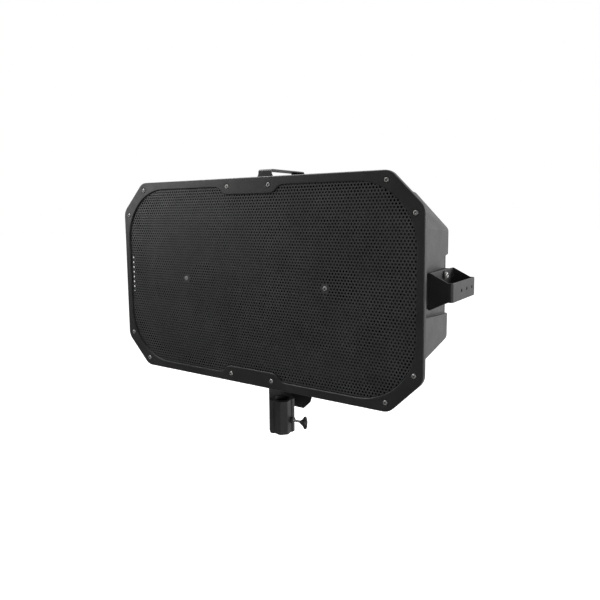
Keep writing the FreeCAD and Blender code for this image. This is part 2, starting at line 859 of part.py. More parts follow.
def build_basket(side, x, y, flange):
    """Basket: flange, conical wall with six windows, ledge for the spider, floor ring."""
    floor, end = size("basket_floor"), size("basket_floor_end")
    base, bore = size("basket_base_radius"), size("basket_bore")
    ledge, ledge_in = size("spider_ledge"), size("spider_ledge_inner")
    ledge_end = ledge + size("spider_ledge_drop")
    shoulder_front, shoulder_back = size("basket_shoulder_front"), size("basket_shoulder_back")
    body = revolve(f"basket_{side}", [
        (size("flange_inner"), flange), (size("flange_radius"), flange), (size("flange_radius"), 0.0),
        (size("basket_mouth_outer"), 0.0), (size("basket_shoulder_outer"), shoulder_back),
        (size("basket_waist_radius"), size("basket_waist")), (base, size("basket_base_front")),
        (base, end), (bore, end), (bore, floor), (size("basket_floor_radius"), floor),
        (ledge_in, ledge_end), (ledge_in, ledge), (size("spider_ledge_outer"), ledge),
        (size("basket_shoulder_inner"), shoulder_front), (size("basket_mouth_inner"), 0.0)], x, y)
    window = new_sketch(body, "XZ_Plane", shoulder_front)
    near, far = size("basket_window_inner"), size("basket_window_outer")
    across, up = math.cos(WINDOW_HALF_ANGLE), math.sin(WINDOW_HALF_ANGLE)
    outline(window, [
        (near * across, -near * up), (far * across, -far * up, far),
        (far * across, far * up), (near * across, near * up, -near)])
    cut = pocket(body, window, size("basket_window_depth"))
    ring = body.newObject("PartDesign::PolarPattern", f"windows_{side}")
    ring.Originals = [cut]
    axis = [f for f in body.Origin.OriginFeatures if f.Role == "Y_Axis"][0]
    ring.Axis = (axis, [""])
    ring.Angle = 360.0
    ring.Occurrences = BASKET_WINDOWS
    body.Tip = ring
    screw_holes(body, flange, size("flange_thickness"), driver_screw_points(0.0), size("basket_screw_hole"))


def build_surround(side, x, y, flange):
    """Half-roll rubber edge between the cone and the flange."""
    front = flange - size("surround_thickness")
    roll_in, roll_out, wall = size("cone_edge_outer"), size("roll_radius_outer"), size("roll_wall")
    inner, lip = size("cone_edge_inner"), size("surround_lip")
    revolve(f"surround_{side}", [
        (inner, front), (roll_in, front, size("roll_arc")), (roll_out, front), (lip, front),
        (lip, flange), (roll_out - wall, flange, -size("roll_arc_inner")), (roll_in + wall, flange),
        (inner, flange)], x, y)


build_baffle()
for driver_side, driver_sign in (("left", -1.0), ("right", 1.0)):
    build_driver(driver_side, driver_sign)

# ---------------------------------------------------------------- mounting brackets

# radial gap between a screw and the plain bore that stands for its thread
TAPPED_GAP = 0.05

SIDES = {
    "right": (size("bracket_side_base"), 0.0, 0.0, "half_width"),
    "left": (-size("bracket_side_base"), 0.0, 180.0, "half_width"),
    "top": (0.0, size("bracket_top_base"), -90.0, "half_height"),
    "bottom": (0.0, -size("bracket_top_base"), 90.0, "half_height"),
}


def side_body(label, side):
    """A body whose +X points out of one side of the cabinet, with its base plane at the bracket's."""
    x, z, angle, _ = SIDES[side]
    return new_body(label, x, FRONT + size("bracket_start"), MIDDLE + z, Vector(0, 1, 0), angle)


def wedge_depth(side, along):
    """Gap between a bracket's base plane and the tapering recess floor."""
    wall = SIDES[side][3]
    base = size("bracket_side_base") if wall == "half_width" else size("bracket_top_base")
    return base - recess_floor(wall, size("bracket_start") + along)


def bolt_circles(body, height, radius, depth):
    """The two bolt holes through a bracket, wedge or nut plate."""
    sketch = new_sketch(body, "YZ_Plane", height)
    for sign in (1, -1):
        circle(sketch, size("bolt_offset"), sign * size("bolt_spread_half"), radius)
    pocket(body, sketch, depth)


def build_bracket(side):
    """Folded steel loop: base plate, two tapered flanges and a web with three holes. The
    bottom one's are larger, for the bolts that hold the pole hanger."""
    body = side_body(f"bracket_{side}", side)
    tall, long, steel = size("bracket_height"), size("bracket_length"), size("bracket_steel")
    bend = size("bracket_bend")
    inner = bend - steel
    loop = new_sketch(body, "XY_Plane")
    outline(loop, [(0.0, 0.0), (tall - bend, 0.0, bend), (tall, bend), (tall, long - bend, bend),
                   (tall - bend, long), (0.0, long)])
    outline(loop, [(steel, steel), (tall - bend, steel, inner), (tall - steel, bend),
                   (tall - steel, long - bend, inner), (tall - bend, long - steel), (steel, long - steel)])
    base_half, web_half = size("bracket_base_half"), size("bracket_web_half")
    pad(body, loop, base_half * 2.0, midplane=True)
    taper = new_sketch(body, "XZ_Plane")
    low, high = size("bracket_taper_start"), size("bracket_taper_end")
    over, beyond = tall + size("overcut"), base_half + size("overcut")
    for sign in (1, -1):
        outline(taper, [(low, sign * base_half), (high, sign * web_half), (over, sign * web_half),
                        (over, sign * beyond), (low, sign * beyond)])
    pocket(body, taper, long)
    web = new_sketch(body, "YZ_Plane", tall)
    radius = size("hanger_hole") if side == "bottom" else size("web_hole")
    for step in (-1, 0, 1):
        circle(web, size("web_hole_centre") + step * size("web_hole_pitch"), 0.0, radius)
    pocket(body, web, steel)
    bolt_circles(body, steel, size("bolt_hole"), steel)


def sloped_plate(label, side, start, end, near, far, half, hole):
    """A plate under the bracket between two sloped faces, given as depth formulas."""
    body = side_body(label, side)
    sketch = new_sketch(body, "XY_Plane")
    outline(sketch, [(-far(start), start), (-near(start), start), (-near(end), end), (-far(end), end)])
    pad(body, sketch, as_dim(half) * 2.0, midplane=True)
    bolt_circles(body, 0.0, hole, size("bracket_height"))


def build_bracket_seat(side):
    """Rubber wedge outside the recess floor and steel nut plate inside it."""
    base = as_dim(0.0)
    sloped_plate(f"bracket_wedge_{side}", side, base, size("bracket_length"), lambda along: base,
                 lambda along: wedge_depth(side, along), size("wedge_half"), size("bolt_hole"))
    sloped_plate(f"nut_plate_{side}", side, size("nut_plate_start"), size("nut_plate_end"),
                 lambda along: wedge_depth(side, along) + WALL,
                 lambda along: wedge_depth(side, along) + WALL + size("nut_plate_thickness"),
                 size("nut_plate_half"), size("bolt_radius") + TAPPED_GAP)


for bracket_side in SIDES:
    build_bracket(bracket_side)
    build_bracket_seat(bracket_side)

# ---------------------------------------------------------------- pole mount

SOCKET_HALF = size("socket_half")
STEEL = size("hanger_steel")
HANGER_TOP = -(size("bracket_top_base") + size("bracket_height"))


def build_pole_hanger():
    """Folded steel box under the bottom bracket: lid, left wall and back wall."""
    body = new_body("pole_hanger")
    left, right = -SOCKET_HALF, size("hanger_right")
    front, back, low = size("hanger_front"), size("hanger_back"), -size("hanger_low")
    under = HANGER_TOP - STEEL
    wall = new_sketch(body, "YZ_Plane", left)
    outline(wall, [(front, low), (back, low), (back, HANGER_TOP), (front, HANGER_TOP)])
    pad(body, wall, STEEL)
    rear = new_sketch(body, "XZ_Plane", back - STEEL)
    cut_side, cut_top = size("hanger_cut_side"), -size("hanger_cut_top")
    outline(rear, [(left, low), (cut_side, low),
                   (right - size("hanger_cut_lead"), cut_top - size("hanger_cut_drop")),
                   (right, cut_top), (right, HANGER_TOP), (left, HANGER_TOP)])
    pad(body, rear, STEEL, backward=True)
    lid = new_sketch(body, "XY_Plane", under)
    outline(lid, [(left, front), (right, front), (right, back), (left, back)])
    pad(body, lid, STEEL)
    holes = new_sketch(body, "XY_Plane", HANGER_TOP)
    for along in web_hole_setbacks():
        circle(holes, 0.0, along, size("hanger_hole"))
    pocket(body, holes, STEEL)
    sink = (size("socket_screw_sink"), size("socket_screw_sink_depth"))
    for radius, depth in ((size("socket_screw_hole"), STEEL), sink):
        screws = new_sketch(body, "YZ_Plane", left)
        for height in SOCKET_SCREWS:
            circle(screws, size("socket_setback"), height - MIDDLE, radius)
        pocket(body, screws, depth, flip=True)


def web_hole_setbacks():
    """Setbacks of the three holes in a bracket's web."""
    middle = size("bracket_start") + size("web_hole_centre")
    return [middle + step * size("web_hole_pitch") for step in (-1, 0, 1)]


SOCKET_SCREWS = (47.0, 69.0)


def build_pole_socket():
    """Cast square tube with cut corners, bored for a 35 mm pole, with a tapped side boss."""
    body = new_body("pole_socket", 0.0, 0.0, 0.0)
    tall = size("socket_height")
    chamfer = size("socket_chamfer")
    outside = new_sketch(body, "XY_Plane")
    outline(outside, octagon(SOCKET_HALF, SOCKET_HALF, chamfer, chamfer))
    pad(body, outside, tall)
    bore = new_sketch(body, "XY_Plane", tall)
    circle(bore, 0.0, 0.0, size("socket_bore"))
    pocket(body, bore, tall)
    depth = size("groove_depth")
    groove = rectangle(size("groove_half"), tall / 2.0, 0.0, tall / 2.0)
    for plane, height in (("XZ_Plane", -SOCKET_HALF), ("XZ_Plane", SOCKET_HALF - depth),
                          ("YZ_Plane", SOCKET_HALF)):
        sketch = new_sketch(body, plane, height)
        outline(sketch, groove)
        pocket(body, sketch, depth)
    tap_socket(body, SOCKET_HALF - depth, size("screw_height"))
    notch = new_sketch(body, "XY_Plane", MIDDLE - size("hanger_low"))
    reach = size("overcut") * 2.0
    outline(notch, rectangle(reach, SOCKET_HALF + reach, STEEL - SOCKET_HALF - reach, 0.0))
    pocket(body, notch, tall, flip=True)
    screws = new_sketch(body, "YZ_Plane", STEEL - SOCKET_HALF)
    for at in SOCKET_SCREWS:
        circle(screws, 0.0, at, size("socket_screw_tapped"))
    pocket(body, screws, size("socket_screw_depth"), flip=True)


def tap_socket(body, floor, height):
    """The boss on the right face, its hole for the thumbscrew and the pad's seat inside."""
    boss = new_sketch(body, "YZ_Plane", floor)
    circle(boss, 0.0, height, size("tap_boss_radius"))
    pad(body, boss, SOCKET_HALF + size("tap_boss_length") - floor)
    tapped = new_sketch(body, "YZ_Plane", SOCKET_HALF + size("tap_boss_length"))
    circle(tapped, 0.0, height, size("screw_hole"))
    pocket(body, tapped, SOCKET_HALF + size("tap_boss_length") - size("pad_back"))
    seat = new_sketch(body, "YZ_Plane", size("pad_back") + size("seat_gap"))
    circle(seat, 0.0, height, size("pad_radius") + size("seat_clear"))
    pocket(body, seat, size("seat_depth"))


def build_thumbscrew():
    """Clamp pad, bare screw and black two-winged knob, all on one axis along X."""
    height = size("screw_height")
    clamp = new_body("clamp_pad", 0.0, 0.0, 0.0)
    disc = new_sketch(clamp, "YZ_Plane", size("pad_back") - size("pad_thickness"))
    circle(disc, 0.0, height, size("pad_radius"))
    pad(clamp, disc, size("pad_thickness"))
    screw = new_body("thumb_screw", 0.0, 0.0, 0.0)
    rod = new_sketch(screw, "YZ_Plane", size("pad_back"))
    circle(rod, 0.0, height, size("screw_radius"))
    rod_end = size("knob_front") + size("knob_grip")
    pad(screw, rod, rod_end - size("pad_back"))
    knob = new_body("thumb_knob", 0.0, 0.0, height)
    hub = new_sketch(knob, "XY_Plane")
    front, end, stem = size("knob_front"), size("knob_end"), size("screw_radius")
    cap, hub_end = end - size("knob_cap_back"), end - size("knob_hub_back")
    hub_radius = size("knob_hub")
    outline(hub, [(front, stem), (rod_end, stem), (rod_end, 0.0), (cap, 0.0), (cap, size("knob_cap")),
                  (hub_end, hub_radius), (front + size("knob_hub_front"), hub_radius),
                  (front, size("knob_neck"))])
    feature = knob.newObject("PartDesign::Revolution", "turn_knob")
    feature.Profile = hub
    feature.ReferenceAxis = (hub, ["H_Axis"])
    feature.Angle = 360.0
    doc.recompute()
    wings = new_sketch(knob, "XZ_Plane")
    outline(wings, wing_outline(front, end, size("knob_half_span"), size("wing_tip")))
    pad(knob, wings, size("wing_thickness"), midplane=True)


def wing_outline(front, end, span, tip):
    """Both wings seen along the screw's side, with rounded tips and a dip between them."""
    root_x, root_z = front + 4.0, 5.0
    tip_front, tip_back = end - 8.0, end - 2.5
    shoulder = 8.0
    return [(root_x, -root_z), (tip_front, 1.5 - span, tip), (tip_back, 1.0 - span),
            (end, -shoulder), (end - 1.0, 0.0), (end, shoulder), (tip_back, span - 1.0, tip),
            (tip_front, span - 1.5), (root_x, root_z)]


build_pole_hanger()
build_pole_socket()
build_thumbscrew()

# ---------------------------------------------------------------- crossover and terminals

BOARD = size("board_front")
BOARD_BACK = BOARD + size("board_thickness")
BOARD_Z = size("board_centre")
BACK_INSIDE = size("shell_back_setback") - WALL
BACK = size("shell_back_setback")
board_posts = four_corners(size("board_post_wide"), size("board_post_tall"), BOARD_Z)


def build_crossover():
    board = rectangle(size("board_half_width"), size("board_half_height"), 0.0, BOARD_Z)
    plate("crossover_board", [board], BOARD, size("board_thickness"), board_posts, size("board_hole"))
    inner, outer, length = size("inductor_inner"), size("inductor_outer"), size("inductor_length")
    revolve("inductor", [(inner, 0.0), (outer, 0.0), (outer, length), (inner, length)],
            -size("inductor_left"), FRONT + BOARD - length, MIDDLE + BOARD_Z + size("inductor_up"))


def build_terminals():
    gasket, sheet_thick = size("terminal_gasket"), size("terminal_thickness")
    wide, tall = size("terminal_half_width"), size("terminal_half_height")
    window = rectangle(size("terminal_cut_half_width"), size("terminal_cut_half_height"), 0.0, TERMINAL_Z)
    plate("terminal_gasket", [rectangle(wide, tall, 0.0, TERMINAL_Z), window], BACK, gasket,
          terminal_screws, size("terminal_gasket_hole"))
    body = plate("terminal_plate", [rectangle(wide, tall, 0.0, TERMINAL_Z)], BACK + gasket, sheet_thick,
                 terminal_screws, size("terminal_plate_hole"))
    opening = size("connector_radius") + size("connector_clear")
    screw_holes(body, BACK + gasket, sheet_thick, connector_points, opening)
    for name, (x, z) in zip(("left", "right"), connector_points):
        build_connector(name, x, z, BACK + gasket + sheet_thick)


def build_connector(name, x, z, face):
    """Round twist-lock speaker socket: flange, barrel through the plate and a blind bore."""
    body = new_body(f"connector_{name}", x, FRONT, MIDDLE + z)
    flange = new_sketch(body, "XZ_Plane", face)
    corner = size("connector_flange_corner")
    outline(flange, octagon(size("connector_flange_wide"), size("connector_flange_tall"), corner, corner))
    pad(body, flange, size("connector_flange"), backward=True)
    barrel = new_sketch(body, "XZ_Plane", face - size("connector_depth"))
    circle(barrel, 0.0, 0.0, size("connector_radius"))
    pad(body, barrel, size("connector_depth") + size("connector_front"), backward=True)
    ring = new_sketch(body, "XZ_Plane", face - size("connector_bore_start"))
    circle(ring, 0.0, 0.0, size("connector_socket"))
    pocket(body, ring, size("connector_bore_depth"))


build_crossover()
build_terminals()

# ---------------------------------------------------------------- fasteners and small parts


def group(label, shapes, x=0.0, y=None, z=None):
    """Identical loose pieces kept together as separate solids."""
    item = doc.addObject("Part::Feature", f"group_{label}")
    item.Shape = Part.makeCompound(shapes)
    place(item, x, FRONT if y is None else y, MIDDLE if z is None else z)
    return register(item, label)


# head radius, head height, shank radius, shank length and key radius of each kind of screw
SCREWS = {
    "driver": (4.4, 3.0, 2.5, 16.0, 1.6),
    "baffle": (4.5, 2.6, 2.0, 20.0, 1.5),
    "board": (3.2, 2.0, 1.5, 8.0, 1.0),
}
FRONT_HEAD = (5.3, 3.0)
FRONT_KEY = 1.8
FRONT_BITE = 8.0
CENTRE_LENGTH = 15.5


def button_screw(head_radius, head, shank_radius, shank, socket):
    """A screw that points towards +Y, with its head's underside at the origin."""
    back = Vector(0, 1, 0)
    cap = Part.makeCone(head_radius * 0.62, head_radius, head, Vector(0, -head, 0), back)
    stem = Part.makeCylinder(shank_radius, shank, Vector(0, 0, 0), back)
    key = Part.makeCylinder(socket, head * 0.6, Vector(0, -head, 0), back)
    return cap.fuse(stem).cut(key).removeSplitter()


def copies(shape, points, setback):
    """The shape repeated at (x, z) points."""
    out = []
    for x, z in points:
        piece = shape.copy()
        piece.translate(Vector(x, setback, z))
        out.append(piece)
    return out


def build_front_screws():
    recess = size("frame_recess_depth").value
    shank = size("boss_hole").value - TAPPED_GAP
    length = FLANGE_BACK.value + FRONT_BITE - recess
    frame_screw = button_screw(*FRONT_HEAD, shank, length, FRONT_KEY)
    group("frame_screws", copies(frame_screw, frame_points, recess))
    centre_screw = button_screw(*FRONT_HEAD, shank, CENTRE_LENGTH, FRONT_KEY)
    group("centre_screws", copies(centre_screw, centre_points, size("frame_lip").value))
    rims = [point for x, _ in centre_points for point in driver_screw_points(x)]
    face = BAFFLE.value - size("flange_thickness").value
    group("driver_screws", copies(button_screw(*SCREWS["driver"]), rims, face))
    corners = four_ways(BAFFLE_SCREWS)
    group("baffle_screws", copies(button_screw(*SCREWS["baffle"]), corners, BAFFLE.value))


def to_side(shape, side):
    """Move a shape drawn in a bracket's frame to its side of the cabinet."""
    x, z, angle, _ = SIDES[side]
    turned = shape.copy()
    turned.Placement = Placement(
        Vector(as_dim(x).value, size("bracket_start").value, as_dim(z).value),
        Rotation(Vector(0, 1, 0), angle))
    return turned


BOLT_HEAD = 5.0
BOLT_HEAD_WIDE = 6.8
BOLT_HEAD_TOP = 4.8
BOLT_KEY = 2.6
BOLT_KEY_DEPTH = 3.0
BOLT_TAIL = 7.0


def build_bracket_bolts():
    """Button-head bolts on dark rubber washers, two to a bracket."""
    bolts = []
    washers = []
    out = Vector(1, 0, 0)
    radius = size("bolt_radius").value
    floor = size("bracket_steel").value
    lift = floor + size("washer_thickness").value
    along = size("bolt_offset").value
    key_floor = lift + BOLT_HEAD - BOLT_KEY_DEPTH
    for side in SIDES:
        reach = wedge_depth(side, as_dim(along)).value + WALL.value + BOLT_TAIL
        for sign in (1, -1):
            at = Vector(0, along, sign * size("bolt_spread_half").value)
            stem = Part.makeCylinder(radius, reach + lift, at - out * reach, out)
            cap = Part.makeCone(BOLT_HEAD_WIDE, BOLT_HEAD_TOP, BOLT_HEAD, at + out * lift, out)
            key = Part.makeCylinder(BOLT_KEY, BOLT_KEY_DEPTH, at + out * key_floor, out)
            bolts.append(to_side(stem.fuse(cap).cut(key).removeSplitter(), side))
            disc = Part.makeCylinder(size("washer_radius").value, lift - floor, at + out * floor, out)
            hole = Part.makeCylinder(size("bolt_hole").value, lift, at, out)
            washers.append(to_side(disc.cut(hole), side))
    group("bracket_bolts", bolts)
    group("bolt_washers", washers)


# cap radius, cap height, key radius and key depth of the hanger's bolts and the socket's screws
HANGER_CAP = (6.5, 5.0, 3.0, 3.0)
SOCKET_CAP = (4.5, 2.0, 1.6, 1.4)
HANGER_TAIL = 10.0
NUT_RADIUS = 7.5
NUT_HEIGHT = 6.5
SOCKET_SCREW_RADIUS = 2.5
SOCKET_SCREW_LENGTH = 4.8


def cap_screw(start, along, radius, length, cap):
    """A cylinder-head screw from its tip, with the head beyond its length and a key hole in it."""
    head_radius, head, key_radius, key_depth = cap
    stem = Part.makeCylinder(radius, length, start, along)
    top = Part.makeCylinder(head_radius, head, start + along * length, along)
    key = Part.makeCylinder(key_radius, key_depth, start + along * (length + head - key_depth), along)
    return stem.fuse(top).cut(key).removeSplitter()


def build_hanger_fasteners():
    """Bolts and nuts that join the hanger's lid to the bottom bracket's web, and the screws
    that hold the socket to the hanger's left wall."""
    up = Vector(0, 0, 1)
    bolts = []
    nuts = []
    radius = size("hanger_bolt_radius").value
    lid_bottom = (HANGER_TOP - STEEL).value
    grip = size("bracket_steel").value + STEEL.value
    for along in web_hole_setbacks():
        at = Vector(0, along.value, lid_bottom)
        bolts.append(cap_screw(at - up * HANGER_TAIL, up, radius, HANGER_TAIL + grip, HANGER_CAP))
        under = at - up * NUT_HEIGHT
        block = Part.Face(Part.makePolygon(hexagon(under, NUT_RADIUS))).extrude(up * NUT_HEIGHT)
        nuts.append(block.cut(Part.makeCylinder(radius + TAPPED_GAP, NUT_HEIGHT, under, up)))
    group("hanger_bolts", bolts)
    group("hanger_nuts", nuts)
    screws = []
    face = (size("socket_screw_sink_depth") - SOCKET_HALF).value
    for height in SOCKET_SCREWS:
        tip = Vector(face + SOCKET_SCREW_LENGTH, 0, height)
        screws.append(cap_screw(tip, Vector(-1, 0, 0), SOCKET_SCREW_RADIUS, SOCKET_SCREW_LENGTH, SOCKET_CAP))
    group("socket_screws", screws, 0.0, 0.0, 0.0)


def hexagon(centre, radius):
    """A closed ring of hexagon corners about +Z."""
    ring = [centre + Vector(radius * math.cos(k * math.pi / 3), radius * math.sin(k * math.pi / 3), 0)
            for k in range(6)]
    return ring + ring[:1]


POST_RADIUS = 4.0
CAPACITOR_RADIUS = 9.0
CAPACITOR_LENGTH = 38.0
CAPACITOR_X = 12.0
CAPACITOR_ROWS = (26.0, 4.0, -18.0)
PLATE_SCREW_RADIUS = 2.0
PLATE_SCREW_TAIL = 4.0
PLATE_HEAD = 2.4
PLATE_HEAD_WIDE = 4.0
PLATE_HEAD_TOP = 2.6
PLATE_KEY = 1.2
PLATE_KEY_DEPTH = 1.4


def build_board_parts():
    """Posts and screws for the crossover board, its capacitors, and the terminal plate's screws."""
    back = Vector(0, 1, 0)
    length = (BACK_INSIDE - BOARD_BACK).value
    post = Part.makeCylinder(POST_RADIUS, length, Vector(0, 0, 0), back)
    screw_radius = SCREWS["board"][2]
    post = post.cut(Part.makeCylinder(screw_radius + TAPPED_GAP, length, Vector(0, 0, 0), back))
    group("board_posts", copies(post, board_posts, BOARD_BACK.value))
    group("board_screws", copies(button_screw(*SCREWS["board"]), board_posts, BOARD.value))
    can = Part.makeCylinder(
        CAPACITOR_RADIUS, CAPACITOR_LENGTH, Vector(0, -CAPACITOR_RADIUS, 0), Vector(1, 0, 0))
    spots = [(CAPACITOR_X, BOARD_Z.value + row) for row in CAPACITOR_ROWS]
    group("capacitors", copies(can, spots, BOARD.value))
    face = (BACK + size("terminal_gasket") + size("terminal_thickness")).value
    start = BACK_INSIDE.value - PLATE_SCREW_TAIL
    screws = []
    for x, z in terminal_screws:
        stem = Part.makeCylinder(PLATE_SCREW_RADIUS, face - start, Vector(x, start, z), back)
        cap = Part.makeCone(PLATE_HEAD_WIDE, PLATE_HEAD_TOP, PLATE_HEAD, Vector(x, face, z), back)
        key_floor = face + PLATE_HEAD - PLATE_KEY_DEPTH
        key = Part.makeCylinder(PLATE_KEY, PLATE_KEY_DEPTH, Vector(x, key_floor, z), back)
        screws.append(stem.fuse(cap).cut(key).removeSplitter())
    group("terminal_screws", screws)


build_front_screws()
build_bracket_bolts()
build_hanger_fasteners()
build_board_parts()

# ---------------------------------------------------------------- checks and export

doc.recompute()
for item in doc.Objects:
    if "Invalid" in item.State or "Error" in item.State:
        raise RuntimeError(f"{item.Label} is {item.State}")
for item in SUBPARTS:
    if item.Shape.isNull() or not item.Shape.isValid():
        raise RuntimeError(f"{item.Label} has no valid shape")
for item in SUBPARTS:
    item.Shape.exportStep(f"parts/{item.Label}.step")
print(len(SUBPARTS), "sub-parts written")
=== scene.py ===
import json
import math

import bmesh
import bpy
from mathutils import Matrix, Vector
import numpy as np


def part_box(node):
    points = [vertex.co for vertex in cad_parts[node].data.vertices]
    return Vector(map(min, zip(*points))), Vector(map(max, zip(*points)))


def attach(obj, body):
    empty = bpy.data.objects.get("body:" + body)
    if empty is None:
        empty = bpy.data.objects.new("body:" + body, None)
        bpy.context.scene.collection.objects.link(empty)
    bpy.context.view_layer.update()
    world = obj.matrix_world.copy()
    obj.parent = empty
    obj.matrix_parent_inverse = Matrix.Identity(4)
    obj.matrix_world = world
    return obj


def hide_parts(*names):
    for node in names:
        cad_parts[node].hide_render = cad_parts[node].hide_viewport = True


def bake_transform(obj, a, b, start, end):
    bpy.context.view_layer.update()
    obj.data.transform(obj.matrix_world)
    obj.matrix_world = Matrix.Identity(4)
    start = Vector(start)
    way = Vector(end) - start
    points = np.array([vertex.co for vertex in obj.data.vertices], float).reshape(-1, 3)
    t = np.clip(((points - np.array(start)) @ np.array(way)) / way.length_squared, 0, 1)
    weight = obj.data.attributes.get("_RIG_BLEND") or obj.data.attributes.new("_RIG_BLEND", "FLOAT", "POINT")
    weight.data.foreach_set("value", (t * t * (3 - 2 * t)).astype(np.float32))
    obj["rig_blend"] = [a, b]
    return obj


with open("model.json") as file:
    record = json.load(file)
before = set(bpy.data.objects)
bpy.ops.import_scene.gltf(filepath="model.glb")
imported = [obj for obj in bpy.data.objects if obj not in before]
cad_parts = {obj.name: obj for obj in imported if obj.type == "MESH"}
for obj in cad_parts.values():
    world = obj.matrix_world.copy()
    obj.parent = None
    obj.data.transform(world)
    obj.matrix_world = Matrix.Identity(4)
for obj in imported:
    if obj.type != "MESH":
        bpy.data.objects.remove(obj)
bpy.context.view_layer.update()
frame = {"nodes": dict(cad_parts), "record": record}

# A wide two-driver PA speaker, in the CAD frame: X right, Y back, Z up. Everything is in metres
# unless it says millimetres, and outlines in millimetres start at the middle of the cabinet's front.

MM = 0.001
FACE_LOW, FACE_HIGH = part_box("front_frame")
MIDDLE = (FACE_LOW.z + FACE_HIGH.z) / 2.0
SIDES = ("left", "right")
scene = bpy.context.scene

UP = Vector((0.0, 0.0, 1.0))
TO_FRONT, TO_BACK, TO_LEFT = Vector((0.0, -1.0, 0.0)), Vector((0.0, 1.0, 0.0)), Vector((-1.0, 0.0, 0.0))

# The front frame's window and the perforated sheet behind it, in millimetres.
WINDOW_HALF_WIDE = 392.0
WINDOW_HALF_TALL = 212.0
WINDOW_CORNER = 125.0
TAB_HALF_WIDE = 57.0
TAB_FLARE = 40.0
TAB_TALL = 194.5
SHEET_LEG = 67.4
SHEET_SCREW_HOLE = 3.3
HOLE_PITCH = 7.2
HOLE_RADIUS = 2.6
HOLE_MARGIN = 1.0
SCREW_CLEAR = 9.0

# The enclosure, in metres and square metres.
SHELL_RADIUS = 0.005
FLANGE = 0.0045
SMALLEST_SIDE = 0.001
SHORTEST_CORNER = 0.02

# Each kind of fastener: the way its heads face, head height, shank radius, key radius and number of
# sides. None means that each head faces away from the cabinet's middle, along the fastener's length.
FASTENERS = {
    "frame_screws": (TO_FRONT, 0.003, 0.003, 0.0018, 24),
    "centre_screws": (TO_FRONT, 0.003, 0.003, 0.0018, 24),
    "driver_screws": (TO_FRONT, 0.003, 0.0025, 0.0016, 24),
    "baffle_screws": (TO_FRONT, 0.0026, 0.002, 0.0015, 24),
    "board_screws": (TO_FRONT, 0.002, 0.0015, 0.001, 24),
    "terminal_screws": (TO_BACK, 0.0024, 0.002, 0.0012, 24),
    "bracket_bolts": (None, 0.005, 0.004, 0.0026, 30),
    "hanger_bolts": (UP, 0.005, 0.004, 0.003, 24),
    "socket_screws": (TO_LEFT, 0.002, 0.0025, 0.0016, 24),
}
THREAD_PITCH = 0.001
THREAD_DEPTH = 0.0005

# The connectors' insides, in metres. Sizes are across, along and beside.
SOCKET_DEPTH = 0.0165
SOCKET_RIM = 0.0015
CENTRE_RING = (0.0042, 0.0057)
CONTACT_RING = 0.0074
CONTACT_SIZE = (0.0007, 0.011, 0.0026)
KEY_RING = 0.0098
KEY_SIZE = (0.0012, 0.0145, 0.003)

# CAD shapes that keep their form and get rounded edges: edge radius in metres, steps and body.
ROUNDED = {
    "front_frame": (0.0006, 2, "cabinet"),
    "pole_hanger": (0.0006, 2, "cabinet"),
    "pole_socket": (0.0008, 3, "cabinet"),
    "terminal_plate": (0.0005, 2, "cabinet"),
    "grille_gasket": (0.0004, 2, "cabinet"),
    "terminal_gasket": (0.0004, 2, "cabinet"),
    "baffle": (0.0004, 2, "cabinet"),
    "crossover_board": (0.0004, 2, "cabinet"),
    "board_posts": (0.0004, 2, "cabinet"),
    "bolt_washers": (0.0004, 2, "cabinet"),
    "hanger_nuts": (0.0004, 2, "cabinet"),
    "clamp_pad": (0.0006, 2, "clamp"),
    "capacitors": (0.0025, 4, "cabinet"),
}
ROUNDED_MOUNT = {"bracket": 0.0006, "bracket_wedge": 0.0008, "nut_plate": 0.0005}
ROUNDED_DRIVER = {"basket": 0.0008, "top_plate": 0.001, "magnet": 0.0015, "yoke": 0.001,
                  "phase_plug": 0.0006}

# Drivers: radii, and heights behind the baffle's front face, in millimetres.
CONE_NECK, CONE_EDGE = 37.3, 120.0
CONE_NECK_HEIGHT, CONE_EDGE_HEIGHT = 36.0, -4.0
CONE_BULGE = 3.0
PAPER_ACROSS, PAPER_ALONG = 0.3, 1.1
GLUE_EDGE = 124.0
GLUE_HEIGHT = -2.8
PRESSED_RING_HEIGHT = 0.45
PRESSED_RING_SPACING = 12.0
PRESSED_RING_AT = 66.0
PRESSED_RINGS_FROM, PRESSED_RINGS_TO = 58.0, 112.0
ROLL_INNER, ROLL_OUTER = 124.0, 139.0
ROLL_HEIGHT = 7.2
RUBBER_THICKNESS = 1.0
LIP_INNER, LIP_OUTER = 120.0, 144.0
LIP_FRONT, LIP_REAR = -5.0, -4.0
SPIDER_OUTER = 93.0
SPIDER_FLAT = 86.0
SPIDER_FADE = 4.0
SPIDER_WAVE, SPIDER_WAVE_HEIGHT = 6.1, 1.7
SPIDER_FRONT, SPIDER_REAR = 47.2, 47.9
SPIDER_BEND_INNER, SPIDER_BEND_OUTER = 38.0, 84.0
FORMER_INNER, FORMER_OUTER = 36.72, 37.18
FORMER_TOP, FORMER_END = 36.5, 89.5
WINDING_TOP, WINDING_END = 62.0, 86.0
WIRE_START, WIRE_LENGTH, WIRE_TURNS = 62.2, 23.6, 36
WIRE_RADIUS, WIRE_HEIGHT = 37.2, 1.15

# The crossover's coil, in millimetres.
INDUCTOR_BORE = 9.0
INDUCTOR_CHEEK = 1.2
INDUCTOR_TURNS = 16
INDUCTOR_MARGIN = 2.2

# Camera: angles in radians, place in metres.
CAMERA_AZIMUTH, CAMERA_ELEVATION, CAMERA_ROLL = 0.595685, 0.107126, -0.00982356
CAMERA_PLACE = (0.79557, -1.08891, 0.52707)
CAMERA_LENS = 34.239
CAMERA_SHIFT = -25.0 / 600.0

